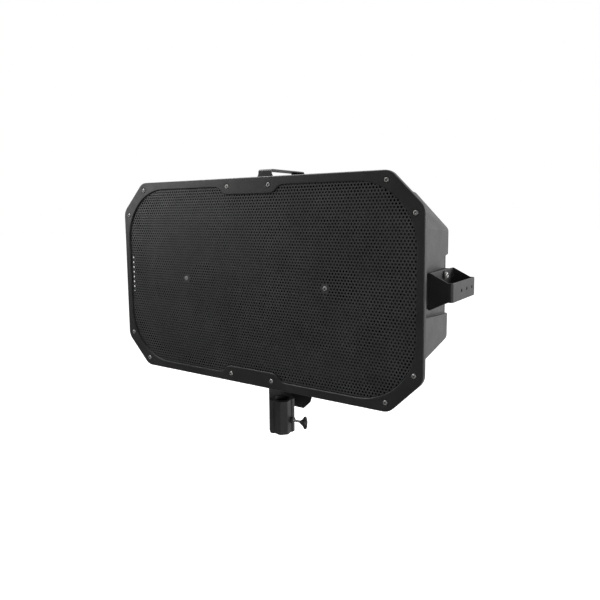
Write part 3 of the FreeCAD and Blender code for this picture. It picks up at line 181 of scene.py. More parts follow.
# Lights: place, width, height and power. The room is bright on one side and dim on the other.
LIGHT_TARGET = Vector((0.0, 0.0, 0.38))
LIGHTS = {
    "key_right_rear": ((2.6, 1.7, 1.3), 1.8, 1.8, 62.0),
    "fill_left_front": ((-2.6, -1.9, 1.1), 1.2, 1.2, 20.0),
    "top": ((-1.1, -0.2, 2.5), 1.4, 1.4, 48.0),
    "edge_right_front": ((2.3, -1.75, 0.25), 0.5, 1.2, 12.0),
}
BRIGHT_SIDE = Vector((0.45, 0.87, 0.2))
ROOM_DIM = 0.16
ROOM_BRIGHT = 0.85
FLOOR_RADIUS = 30.0
FLOOR_HEIGHT = -0.45
FLOOR_GLOW = 0.75


def centre(node):
    low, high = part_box(node)
    return (low + high) / 2.0


# ---------------------------------------------------------------- materials


class Finish:
    """A procedural material, built from small node steps. Lengths are in metres."""

    def __init__(self, name, local=False):
        self.material = bpy.data.materials.new(name)
        self.material.use_nodes = True
        self.tree = self.material.node_tree
        self.shader = self.tree.nodes["Principled BSDF"]
        coordinates = self.tree.nodes.new("ShaderNodeTexCoord")
        self.place = coordinates.outputs["Generated" if local else "Object"]

    def node(self, kind, inputs=(), **settings):
        made = self.tree.nodes.new(f"ShaderNode{kind}")
        for key, value in settings.items():
            setattr(made, key, value)
        for key, value in dict(inputs).items():
            self.feed(made.inputs[key], value)
        return made

    def feed(self, socket, value):
        if isinstance(value, bpy.types.NodeSocket):
            self.tree.links.new(value, socket)
        else:
            socket.default_value = value

    def stretched(self, scale, shift=(0.0, 0.0, 0.0)):
        made = self.node("Mapping", {"Vector": self.place, "Scale": scale, "Location": shift})
        return made.outputs["Vector"]

    def noise(self, scale, detail=3.0, rough=0.55, stretch=None, shift=(0.0, 0.0, 0.0)):
        place = self.stretched(stretch, shift) if stretch else self.place
        made = self.node("TexNoise", {"Vector": place, "Scale": scale, "Detail": detail, "Roughness": rough})
        return made.outputs["Fac"]

    def cells(self, scale):
        return self.node("TexVoronoi", {"Vector": self.place, "Scale": scale}).outputs["Distance"]

    def waves(self, scale, direction, distortion, kind="BANDS", place=None):
        made = self.node("TexWave", {"Vector": place or self.place, "Scale": scale, "Detail": 2.0,
                                     "Distortion": distortion}, wave_type=kind)
        if kind == "BANDS":
            made.bands_direction = direction
        else:
            made.rings_direction = direction
        return made.outputs["Fac"]

    def remap(self, value, start, end, low=0.0, high=1.0):
        made = self.node("MapRange", {"Value": value, "From Min": start, "From Max": end,
                                      "To Min": low, "To Max": high})
        return made.outputs["Result"]

    def product(self, first, second):
        made = self.node("Math", operation="MULTIPLY")
        self.feed(made.inputs[0], first)
        self.feed(made.inputs[1], second)
        return made.outputs[0]

    def mix(self, amount, first, second):
        made = self.node("Mix", data_type="RGBA")
        self.feed(made.inputs["Factor"], amount)
        self.feed(made.inputs[6], rgba(first))
        self.feed(made.inputs[7], rgba(second))
        return made.outputs[2]

    def bump(self, height, depth, before=None, strength=1.0):
        values = {"Height": height, "Distance": depth, "Strength": strength}
        if before is not None:
            values["Normal"] = before
        return self.node("Bump", values).outputs["Normal"]

    def rubbed_edges(self, radius, amount):
        """A mask that is strong along outside edges, broken up by noise."""
        rounded = self.node("Bevel", {"Radius": radius}, samples=4).outputs["Normal"]
        straight = self.node("NewGeometry").outputs["Normal"]
        match = self.node("VectorMath", operation="DOT_PRODUCT")
        self.feed(match.inputs[0], rounded)
        self.feed(match.inputs[1], straight)
        edge = self.remap(match.outputs["Value"], 0.995, 0.9)
        patchy = self.remap(self.noise(90.0, 5.0, 0.7), 0.42, 0.62)
        return self.product(self.product(edge, patchy), amount)

    def painted_hollow_shade(self, reach, amount):
        """Painted shade: a mask inside sockets, corners and other close places, which darkens them where
        shade falls.
        """
        open_to_air = self.node("AmbientOcclusion", {"Distance": reach}, samples=6).outputs["AO"]
        return self.product(self.remap(open_to_air, 0.75, 0.3), amount)

    def dust(self, amount):
        """A faint mask on faces that look up."""
        facing = self.node("SeparateXYZ", {"Vector": self.node("NewGeometry").outputs["Normal"]}).outputs["Z"]
        up = self.remap(facing, 0.35, 1.0)
        patchy = self.remap(self.noise(60.0, 6.0, 0.75), 0.35, 0.75)
        return self.product(self.product(up, patchy), amount)

    def finish(self, colour, roughness, normal=None, **more):
        values = {"Base Color": rgba(colour), "Roughness": roughness, **more}
        if normal is not None:
            values["Normal"] = normal
        for key, value in values.items():
            self.feed(self.shader.inputs[key], value)
        return self.material


def rgba(colour):
    if isinstance(colour, tuple) and len(colour) == 3:
        return (*colour, 1.0)
    return colour


def coated_metal(name, dark, light, rough, peel_scale=420.0, peel_depth=0.00006):
    """Powder coat: fine orange peel, slow changes of tone and gloss, rubbed edges, dust."""
    f = Finish(name)
    tone = f.mix(f.remap(f.noise(14.0, 5.0, 0.6), 0.3, 0.7), dark, light)
    tone = f.mix(f.rubbed_edges(0.0009, 0.5), tone, (0.12, 0.12, 0.125))
    tone = f.mix(f.dust(0.10), tone, (0.16, 0.155, 0.145))
    gloss = f.remap(f.noise(35.0, 6.0, 0.65), 0.3, 0.7, rough - 0.05, rough + 0.07)
    peel = f.bump(f.noise(peel_scale, 2.0, 0.5), peel_depth)
    grit = f.bump(f.noise(peel_scale * 5.0, 2.0, 0.6), peel_depth * 0.25, peel)
    return f.finish(tone, gloss, grit, **{"IOR": 1.5})


def moulded(name, dark, light, rough, grain=900.0, depth=0.00012):
    """Moulded plastic with a fine pebbled grain."""
    f = Finish(name)
    tone = f.mix(f.remap(f.noise(9.0, 5.0, 0.6), 0.3, 0.7), dark, light)
    tone = f.mix(f.rubbed_edges(0.0012, 0.4), tone, (0.09, 0.09, 0.092))
    tone = f.mix(f.dust(0.12), tone, (0.17, 0.165, 0.15))
    gloss = f.remap(f.noise(22.0, 6.0, 0.7), 0.3, 0.7, rough - 0.06, rough + 0.08)
    pebbles = f.bump(f.cells(grain), depth)
    flow = f.bump(f.noise(30.0, 3.0, 0.5), 0.0004, pebbles, 0.3)
    return f.finish(tone, gloss, flow)


def bare_metal(name, dark, light, rough, metal=1.0, stain=None):
    """Metal with fine tool marks, uneven tone, some staining and painted shade in its hollows."""
    f = Finish(name)
    tone = f.mix(f.remap(f.noise(120.0, 6.0, 0.65), 0.3, 0.7), dark, light)
    if stain:
        tone = f.mix(f.remap(f.noise(60.0, 4.0, 0.7), 0.55, 0.75, 0.0, 0.5), tone, stain)
    # Painted shade: sockets, corners and hollows are darkened nearly to black.
    tone = f.mix(f.painted_hollow_shade(0.0025, 0.96), tone, (0.01, 0.01, 0.01))
    gloss = f.remap(f.noise(300.0, 5.0, 0.6), 0.3, 0.7, rough - 0.07, rough + 0.1)
    marks = f.bump(f.noise(700.0, 3.0, 0.6), 0.00003)
    return f.finish(tone, gloss, marks, Metallic=metal)


def turned_metal(name, dark, light, rough):
    """Metal turned on a lathe about the piece's own Y axis, with fine rings."""
    f = Finish(name, local=True)
    middle = f.stretched((1.0, 0.0, 1.0), (-0.5, 0.0, -0.5))
    ring = f.waves(40.0, "Y", 0.4, "RINGS", middle)
    tone = f.mix(f.remap(f.noise(6.0, 5.0, 0.6), 0.3, 0.7), dark, light)
    gloss = f.remap(ring, 0.0, 1.0, rough - 0.05, rough + 0.08)
    return f.finish(tone, gloss, f.bump(ring, 0.00004), Metallic=1.0)


def foam():
    f = Finish("foam")
    pores = f.cells(650.0)
    tone = f.mix(f.remap(pores, 0.1, 0.7), (0.012, 0.012, 0.013), (0.05, 0.05, 0.052))
    return f.finish(tone, f.remap(f.noise(50.0), 0.3, 0.7, 0.88, 1.0), f.bump(pores, 0.0006))


def painted_wood():
    f = Finish("baffle_wood")
    grain = f.noise(60.0, 6.0, 0.65, (0.06, 1.0, 1.0))
    tone = f.mix(f.remap(grain, 0.3, 0.7), (0.009, 0.009, 0.009), (0.028, 0.026, 0.024))
    gloss = f.remap(grain, 0.3, 0.7, 0.55, 0.78)
    return f.finish(tone, gloss, f.bump(grain, 0.0005, f.bump(f.noise(800.0), 0.0001)))


def circuit_board():
    f = Finish("board")
    tracks = f.node("TexBrick", {"Vector": f.place, "Scale": 45.0, "Mortar Size": 0.06,
                                 "Brick Width": 0.8, "Row Height": 0.35})
    copper = tracks.outputs["Fac"]
    weave = f.noise(1400.0, 2.0, 0.5)
    tone = f.mix(f.remap(f.noise(40.0, 4.0), 0.3, 0.7), (0.006, 0.055, 0.022), (0.012, 0.09, 0.035))
    tone = f.mix(f.product(copper, 0.7), tone, (0.03, 0.16, 0.05))
    gloss = f.remap(weave, 0.3, 0.7, 0.3, 0.45)
    return f.finish(tone, gloss, f.bump(copper, 0.00004, f.bump(weave, 0.00003)))


def film_capacitor():
    f = Finish("capacitor_film")
    wrap = f.noise(90.0, 5.0, 0.6, (12.0, 1.0, 1.0))
    tone = f.mix(f.remap(wrap, 0.3, 0.7), (0.33, 0.2, 0.03), (0.5, 0.33, 0.06))
    gloss = f.remap(f.noise(260.0, 4.0), 0.3, 0.7, 0.22, 0.4)
    return f.finish(tone, gloss, f.bump(wrap, 0.00015))


def enamelled_copper():
    f = Finish("copper_wire")
    tone = f.mix(f.remap(f.noise(220.0, 5.0, 0.6), 0.3, 0.7), (0.42, 0.14, 0.05), (0.72, 0.3, 0.13))
    gloss = f.remap(f.noise(500.0, 4.0), 0.3, 0.7, 0.18, 0.34)
    return f.finish(tone, gloss, f.bump(f.noise(900.0), 0.00003), Metallic=0.95)


def ferrite():
    f = Finish("ferrite")
    chips = f.noise(160.0, 6.0, 0.75)
    tone = f.mix(f.remap(chips, 0.35, 0.65), (0.022, 0.022, 0.024), (0.065, 0.065, 0.07))
    gloss = f.remap(f.noise(70.0, 5.0), 0.3, 0.7, 0.5, 0.75)
    return f.finish(tone, gloss, f.bump(chips, 0.00025), Metallic=0.2)


def paper_pulp():
    """Coated paper cone: short fibres pressed in all directions."""
    f = Finish("paper_cone")
    fibres = f.noise(420.0, 8.0, 0.75, (1.0, 1.0, 0.35))
    across = f.noise(420.0, 8.0, 0.75, (0.35, 1.0, 1.0), (3.0, 1.0, 2.0))
    both = f.product(fibres, across)
    tone = f.mix(f.remap(both, 0.15, 0.4), (0.012, 0.012, 0.013), (0.045, 0.044, 0.043))
    gloss = f.remap(f.noise(40.0, 5.0), 0.3, 0.7, 0.5, 0.68)
    return f.finish(tone, gloss, f.bump(both, 0.00035))


def rubber(name, rough):
    f = Finish(name)
    bloom = f.remap(f.noise(28.0, 6.0, 0.7), 0.45, 0.75, 0.0, 0.6)
    tone = f.mix(bloom, (0.011, 0.011, 0.012), (0.035, 0.035, 0.036))
    gloss = f.remap(f.noise(80.0, 5.0), 0.3, 0.7, rough - 0.08, rough + 0.12)
    return f.finish(tone, gloss, f.bump(f.noise(700.0, 3.0), 0.00008))


def spider_cloth():
    """Resin-dipped woven cloth: two crossed sets of threads."""
    f = Finish("spider_cloth")
    warp = f.waves(420.0, "X", 0.6)
    weft = f.waves(420.0, "Z", 0.6)
    weave = f.product(warp, weft)
    tone = f.mix(weave, (0.16, 0.07, 0.02), (0.5, 0.29, 0.11))
    tone = f.mix(f.remap(f.noise(40.0, 5.0), 0.4, 0.7, 0.0, 0.5), tone, (0.22, 0.11, 0.035))
    return f.finish(tone, f.remap(f.noise(90.0), 0.3, 0.7, 0.6, 0.85), f.bump(weave, 0.0002))


def nylon_pad():
    f = Finish("pad_nylon")
    tone = f.mix(f.remap(f.noise(260.0, 5.0), 0.3, 0.7), (0.55, 0.53, 0.48), (0.72, 0.7, 0.65))
    return f.finish(tone, f.remap(f.noise(600.0), 0.3, 0.7, 0.4, 0.58), f.bump(f.noise(1500.0), 0.00004))


MATERIALS = {
    "frame_paint": coated_metal("frame_paint", (0.0095, 0.0095, 0.01), (0.017, 0.017, 0.018), 0.38),
    "grille_paint": coated_metal("grille_paint", (0.026, 0.026, 0.027), (0.043, 0.043, 0.044), 0.42, 900.0,
                                 0.00002),
    "bracket_paint": coated_metal("bracket_paint", (0.009, 0.009, 0.0095), (0.016, 0.016, 0.017), 0.42, 520.0,
                                  0.00005),
    "socket_paint": coated_metal("socket_paint", (0.014, 0.014, 0.0145), (0.025, 0.025, 0.026), 0.5, 480.0,
                                 0.00005),
    "terminal_steel": coated_metal("terminal_steel", (0.011, 0.011, 0.012), (0.02, 0.02, 0.021), 0.42),
    "basket_steel": coated_metal("basket_steel", (0.012, 0.012, 0.013), (0.025, 0.025, 0.026), 0.45, 600.0),
    "shell_plastic": moulded("shell_plastic", (0.02, 0.02, 0.021), (0.034, 0.034, 0.035), 0.46),
    "connector_plastic": moulded("connector_plastic", (0.01, 0.01, 0.012), (0.02, 0.02, 0.023), 0.32, 1400.0,
                                 0.00004),
    "knob_plastic": moulded("knob_plastic", (0.012, 0.012, 0.012), (0.022, 0.022, 0.022), 0.42, 1300.0,
                            0.00006),
    "stainless": bare_metal("stainless", (0.34, 0.34, 0.335), (0.54, 0.535, 0.52), 0.46),
    "black_steel": bare_metal("black_steel", (0.02, 0.02, 0.022), (0.06, 0.06, 0.066), 0.42, metal=0.8),
    "zinc_steel": bare_metal("zinc_steel", (0.26, 0.265, 0.27), (0.42, 0.42, 0.4), 0.4,
                             stain=(0.34, 0.3, 0.2)),
    "brass_posts": bare_metal("brass_posts", (0.5, 0.33, 0.1), (0.72, 0.52, 0.2), 0.28),
    "plug_aluminium": turned_metal("plug_aluminium", (0.012, 0.012, 0.013), (0.03, 0.03, 0.032), 0.42),
    "foam": foam(),
    "baffle_wood": painted_wood(),
    "board": circuit_board(),
    "capacitor_film": film_capacitor(),
    "copper_wire": enamelled_copper(),
    "ferrite": ferrite(),
    "paper_cone": paper_pulp(),
    "surround_rubber": rubber("surround_rubber", 0.48),
    "rubber_black": rubber("rubber_black", 0.62),
    "spider_cloth": spider_cloth(),
    "pad_nylon": nylon_pad(),
}
SLOT_OF = {part["node"]: part["material_slot"] for part in frame["record"]["subparts"]}
for node_name, node_object in frame["nodes"].items():
    node_object.data.materials.clear()
    node_object.data.materials.append(MATERIALS[SLOT_OF[node_name]])

# ---------------------------------------------------------------- mesh building


def piece(name, mesh, slot, nodes, body="cabinet", smooth=None):
    """A finished piece that stands for CAD nodes. mesh is a bmesh, which is used up."""
    bmesh.ops.recalc_face_normals(mesh, faces=mesh.faces)
    data = bpy.data.meshes.new(name)
    mesh.to_mesh(data)
    mesh.free()
    data.materials.append(MATERIALS[slot])
    if smooth is not None:
        data.shade_smooth()
        data.set_sharp_from_angle(angle=math.radians(smooth))
    made = bpy.data.objects.new(name, data)
    scene.collection.objects.link(made)
    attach(made, body)
    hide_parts(*nodes)
    return made


def flat_faces_true(made):
    """Rounded edges carry all the shading, so that the flats between them look flat."""
    even = made.modifiers.new("flat_faces", "WEIGHTED_NORMAL")
    even.keep_sharp = True
    even.mode = "FACE_AREA"
    return made


def welded(node):
    """A CAD node's surface as one connected bmesh with whole flat faces."""
    mesh = bmesh.new()
    mesh.from_mesh(frame["nodes"][node].data)
    bmesh.ops.remove_doubles(mesh, verts=mesh.verts, dist=1e-6)
    bmesh.ops.dissolve_limit(mesh, angle_limit=math.radians(1.0), verts=mesh.verts, edges=mesh.edges)
    return mesh


def islands(node):
    """The lowest and highest corner of each loose part of a CAD node."""
    mesh = welded(node)
    left = set(mesh.verts)
    found = []
    while left:
        group = [left.pop()]
        for vert in group:
            for edge in vert.link_edges:
                other = edge.other_vert(vert)
                if other in left:
                    left.remove(other)
                    group.append(other)
        low = Vector([min(v.co[axis] for v in group) for axis in range(3)])
        high = Vector([max(v.co[axis] for v in group) for axis in range(3)])
        found.append((low, high))
    mesh.free()
    return sorted(found, key=lambda box: tuple(box[0]))


def round_over(mesh, edges, width, segments, clamp=False):
    bmesh.ops.bevel(mesh, geom=edges, offset=width, offset_type="OFFSET", segments=segments, profile=0.5,
                    affect="EDGES", clamp_overlap=clamp)


def split_large_faces(mesh):
    bmesh.ops.triangulate(mesh, faces=[f for f in mesh.faces if len(f.verts) > 4])


def rounded_node(node, width, segments):
    """The CAD node's own shape with its edges rounded over."""
    mesh = welded(node)
    edges = [e for e in mesh.edges if len(e.link_faces) == 2
             and e.calc_face_angle(0.0) > math.radians(25.0)]
    round_over(mesh, edges, width, segments)
    split_large_faces(mesh)
    return mesh


def softened(node, width, segments=2, body="cabinet"):
    mesh = rounded_node(node, width, segments)
    return flat_faces_true(piece(f"{node}_finished", mesh, SLOT_OF[node], [node], body, smooth=40.0))


def lathe(mesh, profile, origin, axis, steps=48, closed=True):
    """Turns (radius, height) or (radius, height, sides) points about an axis. Sides gives a
    polygon, as for a hexagon socket. A closed profile joins its last point to its first."""
    turn = axis.to_track_quat("Z", "Y").to_matrix()
    rings = []
    for radius, height, *sides in profile:
        ring = []
        for step in range(steps):
            angle = 2.0 * math.pi * step / steps
            reach = radius
            if sides:
                half = math.pi / sides[0]
                reach = radius * math.cos(half) / math.cos((angle % (2.0 * half)) - half)
            ring.append(mesh.verts.new(origin + turn @ Vector((
                reach * math.cos(angle), reach * math.sin(angle), height))))
            if radius == 0.0:
                ring *= steps
                break
        rings.append(ring)
    pairs = list(zip(rings, rings[1:]))
    if closed:
        pairs.append((rings[-1], rings[0]))
    for first, second in pairs:
        for step in range(steps):
            after = (step + 1) % steps
            corners = [first[step], first[after], second[after], second[step]]
            unique = list(dict.fromkeys(corners))
            if len(unique) > 2:
                mesh.faces.new(unique)


def button_head(length, head, head_radius, shank, key):
    """Profile of a socket button-head screw from its tip (height 0) to its head's top."""
    seat = length - head
    return [
        (0.0, 0.0), (shank * 0.75, 0.0), (shank, shank * 0.35), (shank, seat), (head_radius * 0.96, seat),
        (head_radius, seat + head * 0.08), (head_radius * 0.97, seat + head * 0.3),
        (head_radius * 0.87, seat + head * 0.62), (head_radius * 0.74, seat + head * 0.899),
        (key * 1.5, length), (key * 1.3, length - head * 0.03), (key * 1.22, length - head * 0.12, 6),
        (key * 1.22, length - head * 0.72, 6), (0.0, length - head * 0.8)]


# ---------------------------------------------------------------- perforated grille


def arc(start, end, radius, steps):
    """Points after start up to end on an arc; positive turns left."""
    chord = end - start
    middle = (start + end) / 2.0
    rise = math.sqrt(max(radius * radius - chord.length_squared / 4.0, 0.0))
    side = Vector((-chord.y, chord.x)).normalized()
    hub = middle + side * (rise if radius > 0.0 else -rise)
    first = math.atan2(start.y - hub.y, start.x - hub.x)
    last = math.atan2(end.y - hub.y, end.x - hub.x)
    turn = (last - first) % (2.0 * math.pi) if radius > 0.0 else -((first - last) % (2.0 * math.pi))
    angles = [first + turn * k / steps for k in range(1, steps + 1)]
    return [hub + abs(radius) * Vector((math.cos(angle), math.sin(angle))) for angle in angles]


def window_outline():
    """The frame's window, which has round corners and a tab at the middle of its top and bottom."""
    drop = WINDOW_HALF_TALL - TAB_TALL
    flare = (TAB_FLARE ** 2 + drop ** 2) / (4.0 * drop)
    corner_end = Vector((WINDOW_HALF_WIDE - WINDOW_CORNER, WINDOW_HALF_TALL))
    flare_middle = Vector((TAB_HALF_WIDE + TAB_FLARE / 2.0, WINDOW_HALF_TALL - drop / 2.0))
    quarter = [Vector((WINDOW_HALF_WIDE, WINDOW_HALF_TALL - WINDOW_CORNER))]
    quarter += arc(quarter[-1], corner_end, WINDOW_CORNER, 16)
    quarter.append(Vector((TAB_HALF_WIDE + TAB_FLARE, WINDOW_HALF_TALL)))
    quarter += arc(quarter[-1], flare_middle, flare, 5)
    quarter += arc(quarter[-1], Vector((TAB_HALF_WIDE, TAB_TALL)), -flare, 5)
    left = [Vector((-p.x, p.y)) for p in reversed(quarter)]
    return quarter + left + [-p for p in quarter] + [-p for p in left]


def beyond(outline, point):
    """Distance outside a closed outline, negative inside."""
    inside = False
    nearest = 1e9
    for a, b in zip(outline, outline[1:] + outline[:1]):
        edge = b - a
        along = (point - a).dot(edge) / edge.length_squared if edge.length_squared else 0.0
        share = min(1.0, max(0.0, along))
        nearest = min(nearest, (a + edge * share - point).length)
        if (a.y > point.y) != (b.y > point.y) and point.x < a.x + (point.y - a.y) * edge.x / edge.y:
            inside = not inside
    return -nearest if inside else nearest


def hole_places(screws):
    """Lattice (column, row) to centre for every hole that the window shows."""
    outline = window_outline()
    rise = HOLE_PITCH * math.sqrt(3.0) / 2.0
    rows = int(WINDOW_HALF_TALL / rise) + 2
    columns = int(WINDOW_HALF_WIDE / HOLE_PITCH) + rows
    places = {}
    for row in range(-rows, rows + 1):
        for column in range(-columns, columns + 1):
            spot = Vector(((column + row / 2.0) * HOLE_PITCH, row * rise))
            if abs(spot.x) > WINDOW_HALF_WIDE + HOLE_MARGIN:
                continue
            if min((spot - s).length for s in screws) < SCREW_CLEAR:
                continue
            if beyond(outline, spot) < HOLE_MARGIN:
                places[column, row] = spot
    return places


def build_grille():
    """Steel sheet with staggered holes, as a closed solid with every hole cut through."""
    low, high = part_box("grille_sheet")
    screws = [Vector(((b.x + a.x) / 2.0, (a.z + b.z) / 2.0 - MIDDLE)) / MM
              for node in ("frame_screws", "centre_screws") for a, b in islands(node)]
    places = hole_places(screws)
    mesh = bmesh.new()

    def corner(x, z):
        return mesh.verts.new((x * MM, low.y, MIDDLE + z * MM))

    holes = {}
    for key, spot in places.items():
        holes[key] = [corner(spot.x + HOLE_RADIUS * math.cos(math.radians(30 + 60 * k)),
                             spot.y + HOLE_RADIUS * math.sin(math.radians(30 + 60 * k))) for k in range(6)]
    # The neighbour in direction 60 * k faces the hole's edge from corner k - 1 to corner k.
    steps = [(1, 0), (0, 1), (-1, 1), (-1, 0), (0, -1), (1, -1)]
    open_edges = []
    for (column, row), ring in holes.items():
        near = [holes.get((column + dx, row + dy)) for dx, dy in steps]
        for k in range(6):
            a, b = ring[k - 1], ring[k]
            other = near[k]
            if other is None:
                open_edges.append((a, b))
                continue
            far_a, far_b = other[(k + 3) % 6], other[(k + 2) % 6]
            if k < 3:
                mesh.faces.new((a, far_a, far_b, b))
            following = near[(k + 1) % 6]
            if following is None:
                open_edges.append((b, far_b))
            elif k in (0, 1):
                mesh.faces.new((b, far_b, following[(k + 4) % 6]))
        for k in range(6):
            if near[k] is None and near[(k + 1) % 6] is not None:
                other = near[(k + 1) % 6]
                open_edges.append((ring[k], other[(k + 4) % 6]))
    border = {}
    for a, b in open_edges:
        border[mesh.edges.get((a, b)) or mesh.edges.new((a, b))] = True
    for loop in sheet_loops(low, high, screws):
        ring = [corner(p.x, p.y) for p in loop]
        for a, b in zip(ring, ring[1:] + ring[:1]):
            border[mesh.edges.new((a, b))] = True
    bmesh.ops.triangle_fill(mesh, edges=list(border), use_beauty=True, normal=(0.0, -1.0, 0.0))
    thicken(mesh, high.y - low.y)
    return piece("grille_perforated", mesh, "grille_paint", ["grille_sheet"])


def sheet_loops(low, high, screws):
    """The sheet's outline and its screw holes."""
    half_wide, half_tall = (high.x - low.x) / 2.0 / MM, (high.z - low.z) / 2.0 / MM
    cut = [(half_wide, half_tall - SHEET_LEG), (half_wide - SHEET_LEG, half_tall)]
    quadrants = ((1, 1, 1), (-1, 1, -1), (-1, -1, 1), (1, -1, -1))
    octagon = [Vector((sx * x, sz * z)) for sx, sz, order in quadrants for x, z in cut[::order]]
    rings = [[s + SHEET_SCREW_HOLE * Vector((math.cos(math.radians(15 * k)), math.sin(math.radians(15 * k))))
              for k in range(24)] for s in screws]
    return [octagon] + rings


def thicken(mesh, depth):
    """Turns a flat front into a solid: a back copy, and walls round every open edge."""
    front = list(mesh.faces)
    rims = [e for e in mesh.edges if len(e.link_faces) == 1]
    back = {v: mesh.verts.new(v.co + Vector((0.0, depth, 0.0))) for v in list(mesh.verts)}
    for face in front:
        mesh.faces.new([back[v] for v in reversed(face.verts)])
    for edge in rims:
        a, b = edge.verts
        mesh.faces.new((a, b, back[b], back[a]))


build_grille()

# ---------------------------------------------------------------- enclosure, hardware and sheet metal


def build_rear_shell():
    """The moulded enclosure, with generous radii on its outside corners."""
    mesh = welded("rear_shell")
    low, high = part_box("rear_shell")
    middle = (low + high) / 2.0

    def outside(face):
        away = face.calc_center_median() - middle
        return face.normal.dot(Vector((away.x / (high.x - low.x), 0.2, away.z / (high.z - low.z)))) > 0.0

    def rounded(edge):
        """The long outer corners behind the flange, between two large outside faces."""
        depths = [v.co.y for v in edge.verts]
        if len(edge.link_faces) != 2 or edge.calc_length() < SHORTEST_CORNER or not edge.is_convex:
            return False
        if min(depths) < low.y + FLANGE - 0.0005 or max(depths) < low.y + FLANGE + 0.002:
            return False
        if edge.calc_face_angle(0.0) < math.radians(8.0):
            return False
        return all(outside(face) and face.calc_area() > SMALLEST_SIDE for face in edge.link_faces)

    # The slightly twisted corner faces come as several patches, which are joined before rounding.
    twisted = [edge for edge in mesh.edges if len(edge.link_faces) == 2
               and edge.calc_face_angle(0.0) < math.radians(5.0)
               and all(outside(face) and face.calc_area() > SMALLEST_SIDE / 2.0 for face in edge.link_faces)]
    bmesh.ops.dissolve_edges(mesh, edges=twisted, use_verts=True)
    round_over(mesh, [edge for edge in mesh.edges if rounded(edge)], SHELL_RADIUS, 5)
    split_large_faces(mesh)
    return flat_faces_true(piece("rear_shell_finished", mesh, "shell_plastic", ["rear_shell"], smooth=35.0))


def fasteners(node, out, head, shank, key, steps):
    """Socket button heads in place of every loose part of a CAD node."""
    mesh = bmesh.new()
    cabinet = centre("rear_shell")
    for low, high in islands(node):
        span = high - low
        middle = (low + high) / 2.0
        facing = out
        if facing is None:
            axis = max(range(3), key=lambda k: span[k])
            facing = Vector((0.0, 0.0, 0.0))
            facing[axis] = math.copysign(1.0, middle[axis] - cabinet[axis])
        length = abs(span.dot(facing))
        radius = sorted(span)[0] / 2.0 if length > min(span) else max(span) / 2.0
        tip = middle - facing * length / 2.0
        lathe(mesh, button_head(length, head, radius, shank, key), tip, facing, steps, closed=False)
    return piece(f"{node}_finished", mesh, SLOT_OF[node], [node], smooth=32.0)


def threaded_rod(node, body, axis, steps=28):
    """A right-hand threaded rod the size of the CAD node, with chamfered ends."""
    low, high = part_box(node)
    middle = (low + high) / 2.0
    radius = (high.z - low.z) / 2.0
    length = high.x - low.x
    start = middle - axis * length / 2.0
    turn = axis.to_track_quat("Z", "Y").to_matrix()
    mesh = bmesh.new()
    rows = int(length / THREAD_PITCH * 6)
    rings = []
    for row in range(rows + 1):
        along = length * row / rows
        taper = min(along, length - along)
        ring = []
        for step in range(steps):
            phase = (along / THREAD_PITCH - step / steps) % 1.0
            groove = THREAD_DEPTH * abs(2.0 * phase - 1.0)
            reach = min(radius - groove, radius - THREAD_DEPTH * 1.4 + taper)
            angle = 2.0 * math.pi * step / steps
            ring.append(mesh.verts.new(start + turn @ Vector((
                reach * math.cos(angle), reach * math.sin(angle), along))))
        rings.append(ring)
    for first, second in zip(rings, rings[1:]):
        for step in range(steps):
            after = (step + 1) % steps
            mesh.faces.new((first[step], first[after], second[after], second[step]))
    mesh.faces.new(list(reversed(rings[0])))
    mesh.faces.new(rings[-1])
    return piece(f"{node}_finished", mesh, SLOT_OF[node], [node], body, smooth=50.0)


def moulded_knob():
    """The two-winged thumb knob, blended into one smooth moulding."""
    mesh = welded("thumb_knob")
    data = bpy.data.meshes.new("knob_source")
    mesh.to_mesh(data)
    mesh.free()
    source = bpy.data.objects.new("knob_source", data)
    scene.collection.objects.link(source)
    blend = source.modifiers.new("blend", "REMESH")
    blend.mode = "VOXEL"
    blend.voxel_size = 0.0005
    bpy.context.view_layer.update()
    shaped = bpy.data.meshes.new_from_object(source.evaluated_get(bpy.context.evaluated_depsgraph_get()))
    bpy.data.objects.remove(source)
    mesh = bmesh.new()
    mesh.from_mesh(shaped)
    for _ in range(4):
        bmesh.ops.smooth_vert(mesh, verts=mesh.verts, factor=0.5, use_axis_x=True, use_axis_y=True,
                              use_axis_z=True)
    return piece("thumb_knob_finished", mesh, "knob_plastic", ["thumb_knob"], "thumbscrew", smooth=180.0)


def twist_lock_socket(side):
    """A round speaker socket: rounded flange, screw heads, an inner ring with keyways and four contacts."""
    node = f"connector_{side}"
    mesh = rounded_node(node, 0.0005, 3)
    middle = centre(node)
    floor = Vector((middle.x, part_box(node)[1].y - SOCKET_RIM - SOCKET_DEPTH, middle.z))
    for turn in range(4):
        angle = math.pi * (turn + 0.5) / 2.0
        across = Vector((math.cos(angle), 0.0, math.sin(angle)))
        blade(mesh, floor + across * CONTACT_RING, across, CONTACT_SIZE)
    inner, outer = CENTRE_RING
    tall = SOCKET_DEPTH * 0.8
    lathe(mesh, [(inner, 0.0), (outer, 0.0), (outer, tall), (inner, tall)], floor, TO_BACK, 48)
    for turn in range(2):
        across = Vector((math.cos(math.pi * turn), 0.0, math.sin(math.pi * turn)))
        blade(mesh, floor + across * KEY_RING, across, KEY_SIZE)
    return flat_faces_true(piece(f"{node}_finished", mesh, "connector_plastic", [node], smooth=35.0))


def blade(mesh, foot, across, dimensions):
    """A small raised block that stands along +Y from its foot. Dimensions are across, along, beside."""
    thick, tall, wide = dimensions
    beside = across.cross(TO_BACK)
    corners = bmesh.ops.create_cube(mesh, size=1.0)["verts"]
    for vert in corners:
        x, y, z = vert.co
        vert.co = foot + across * x * thick + beside * z * wide + Vector((0.0, (y + 0.5) * tall, 0.0))
    edges = list({edge for vert in corners for edge in vert.link_edges})
    round_over(mesh, edges, min(dimensions) * 0.2, 2, clamp=True)


def build_hardware():
    for node, (out, head, shank, key, steps) in FASTENERS.items():
        fasteners(node, out, head, shank, key, steps)
    threaded_rod("thumb_screw", "thumbscrew", TO_LEFT)
    moulded_knob()


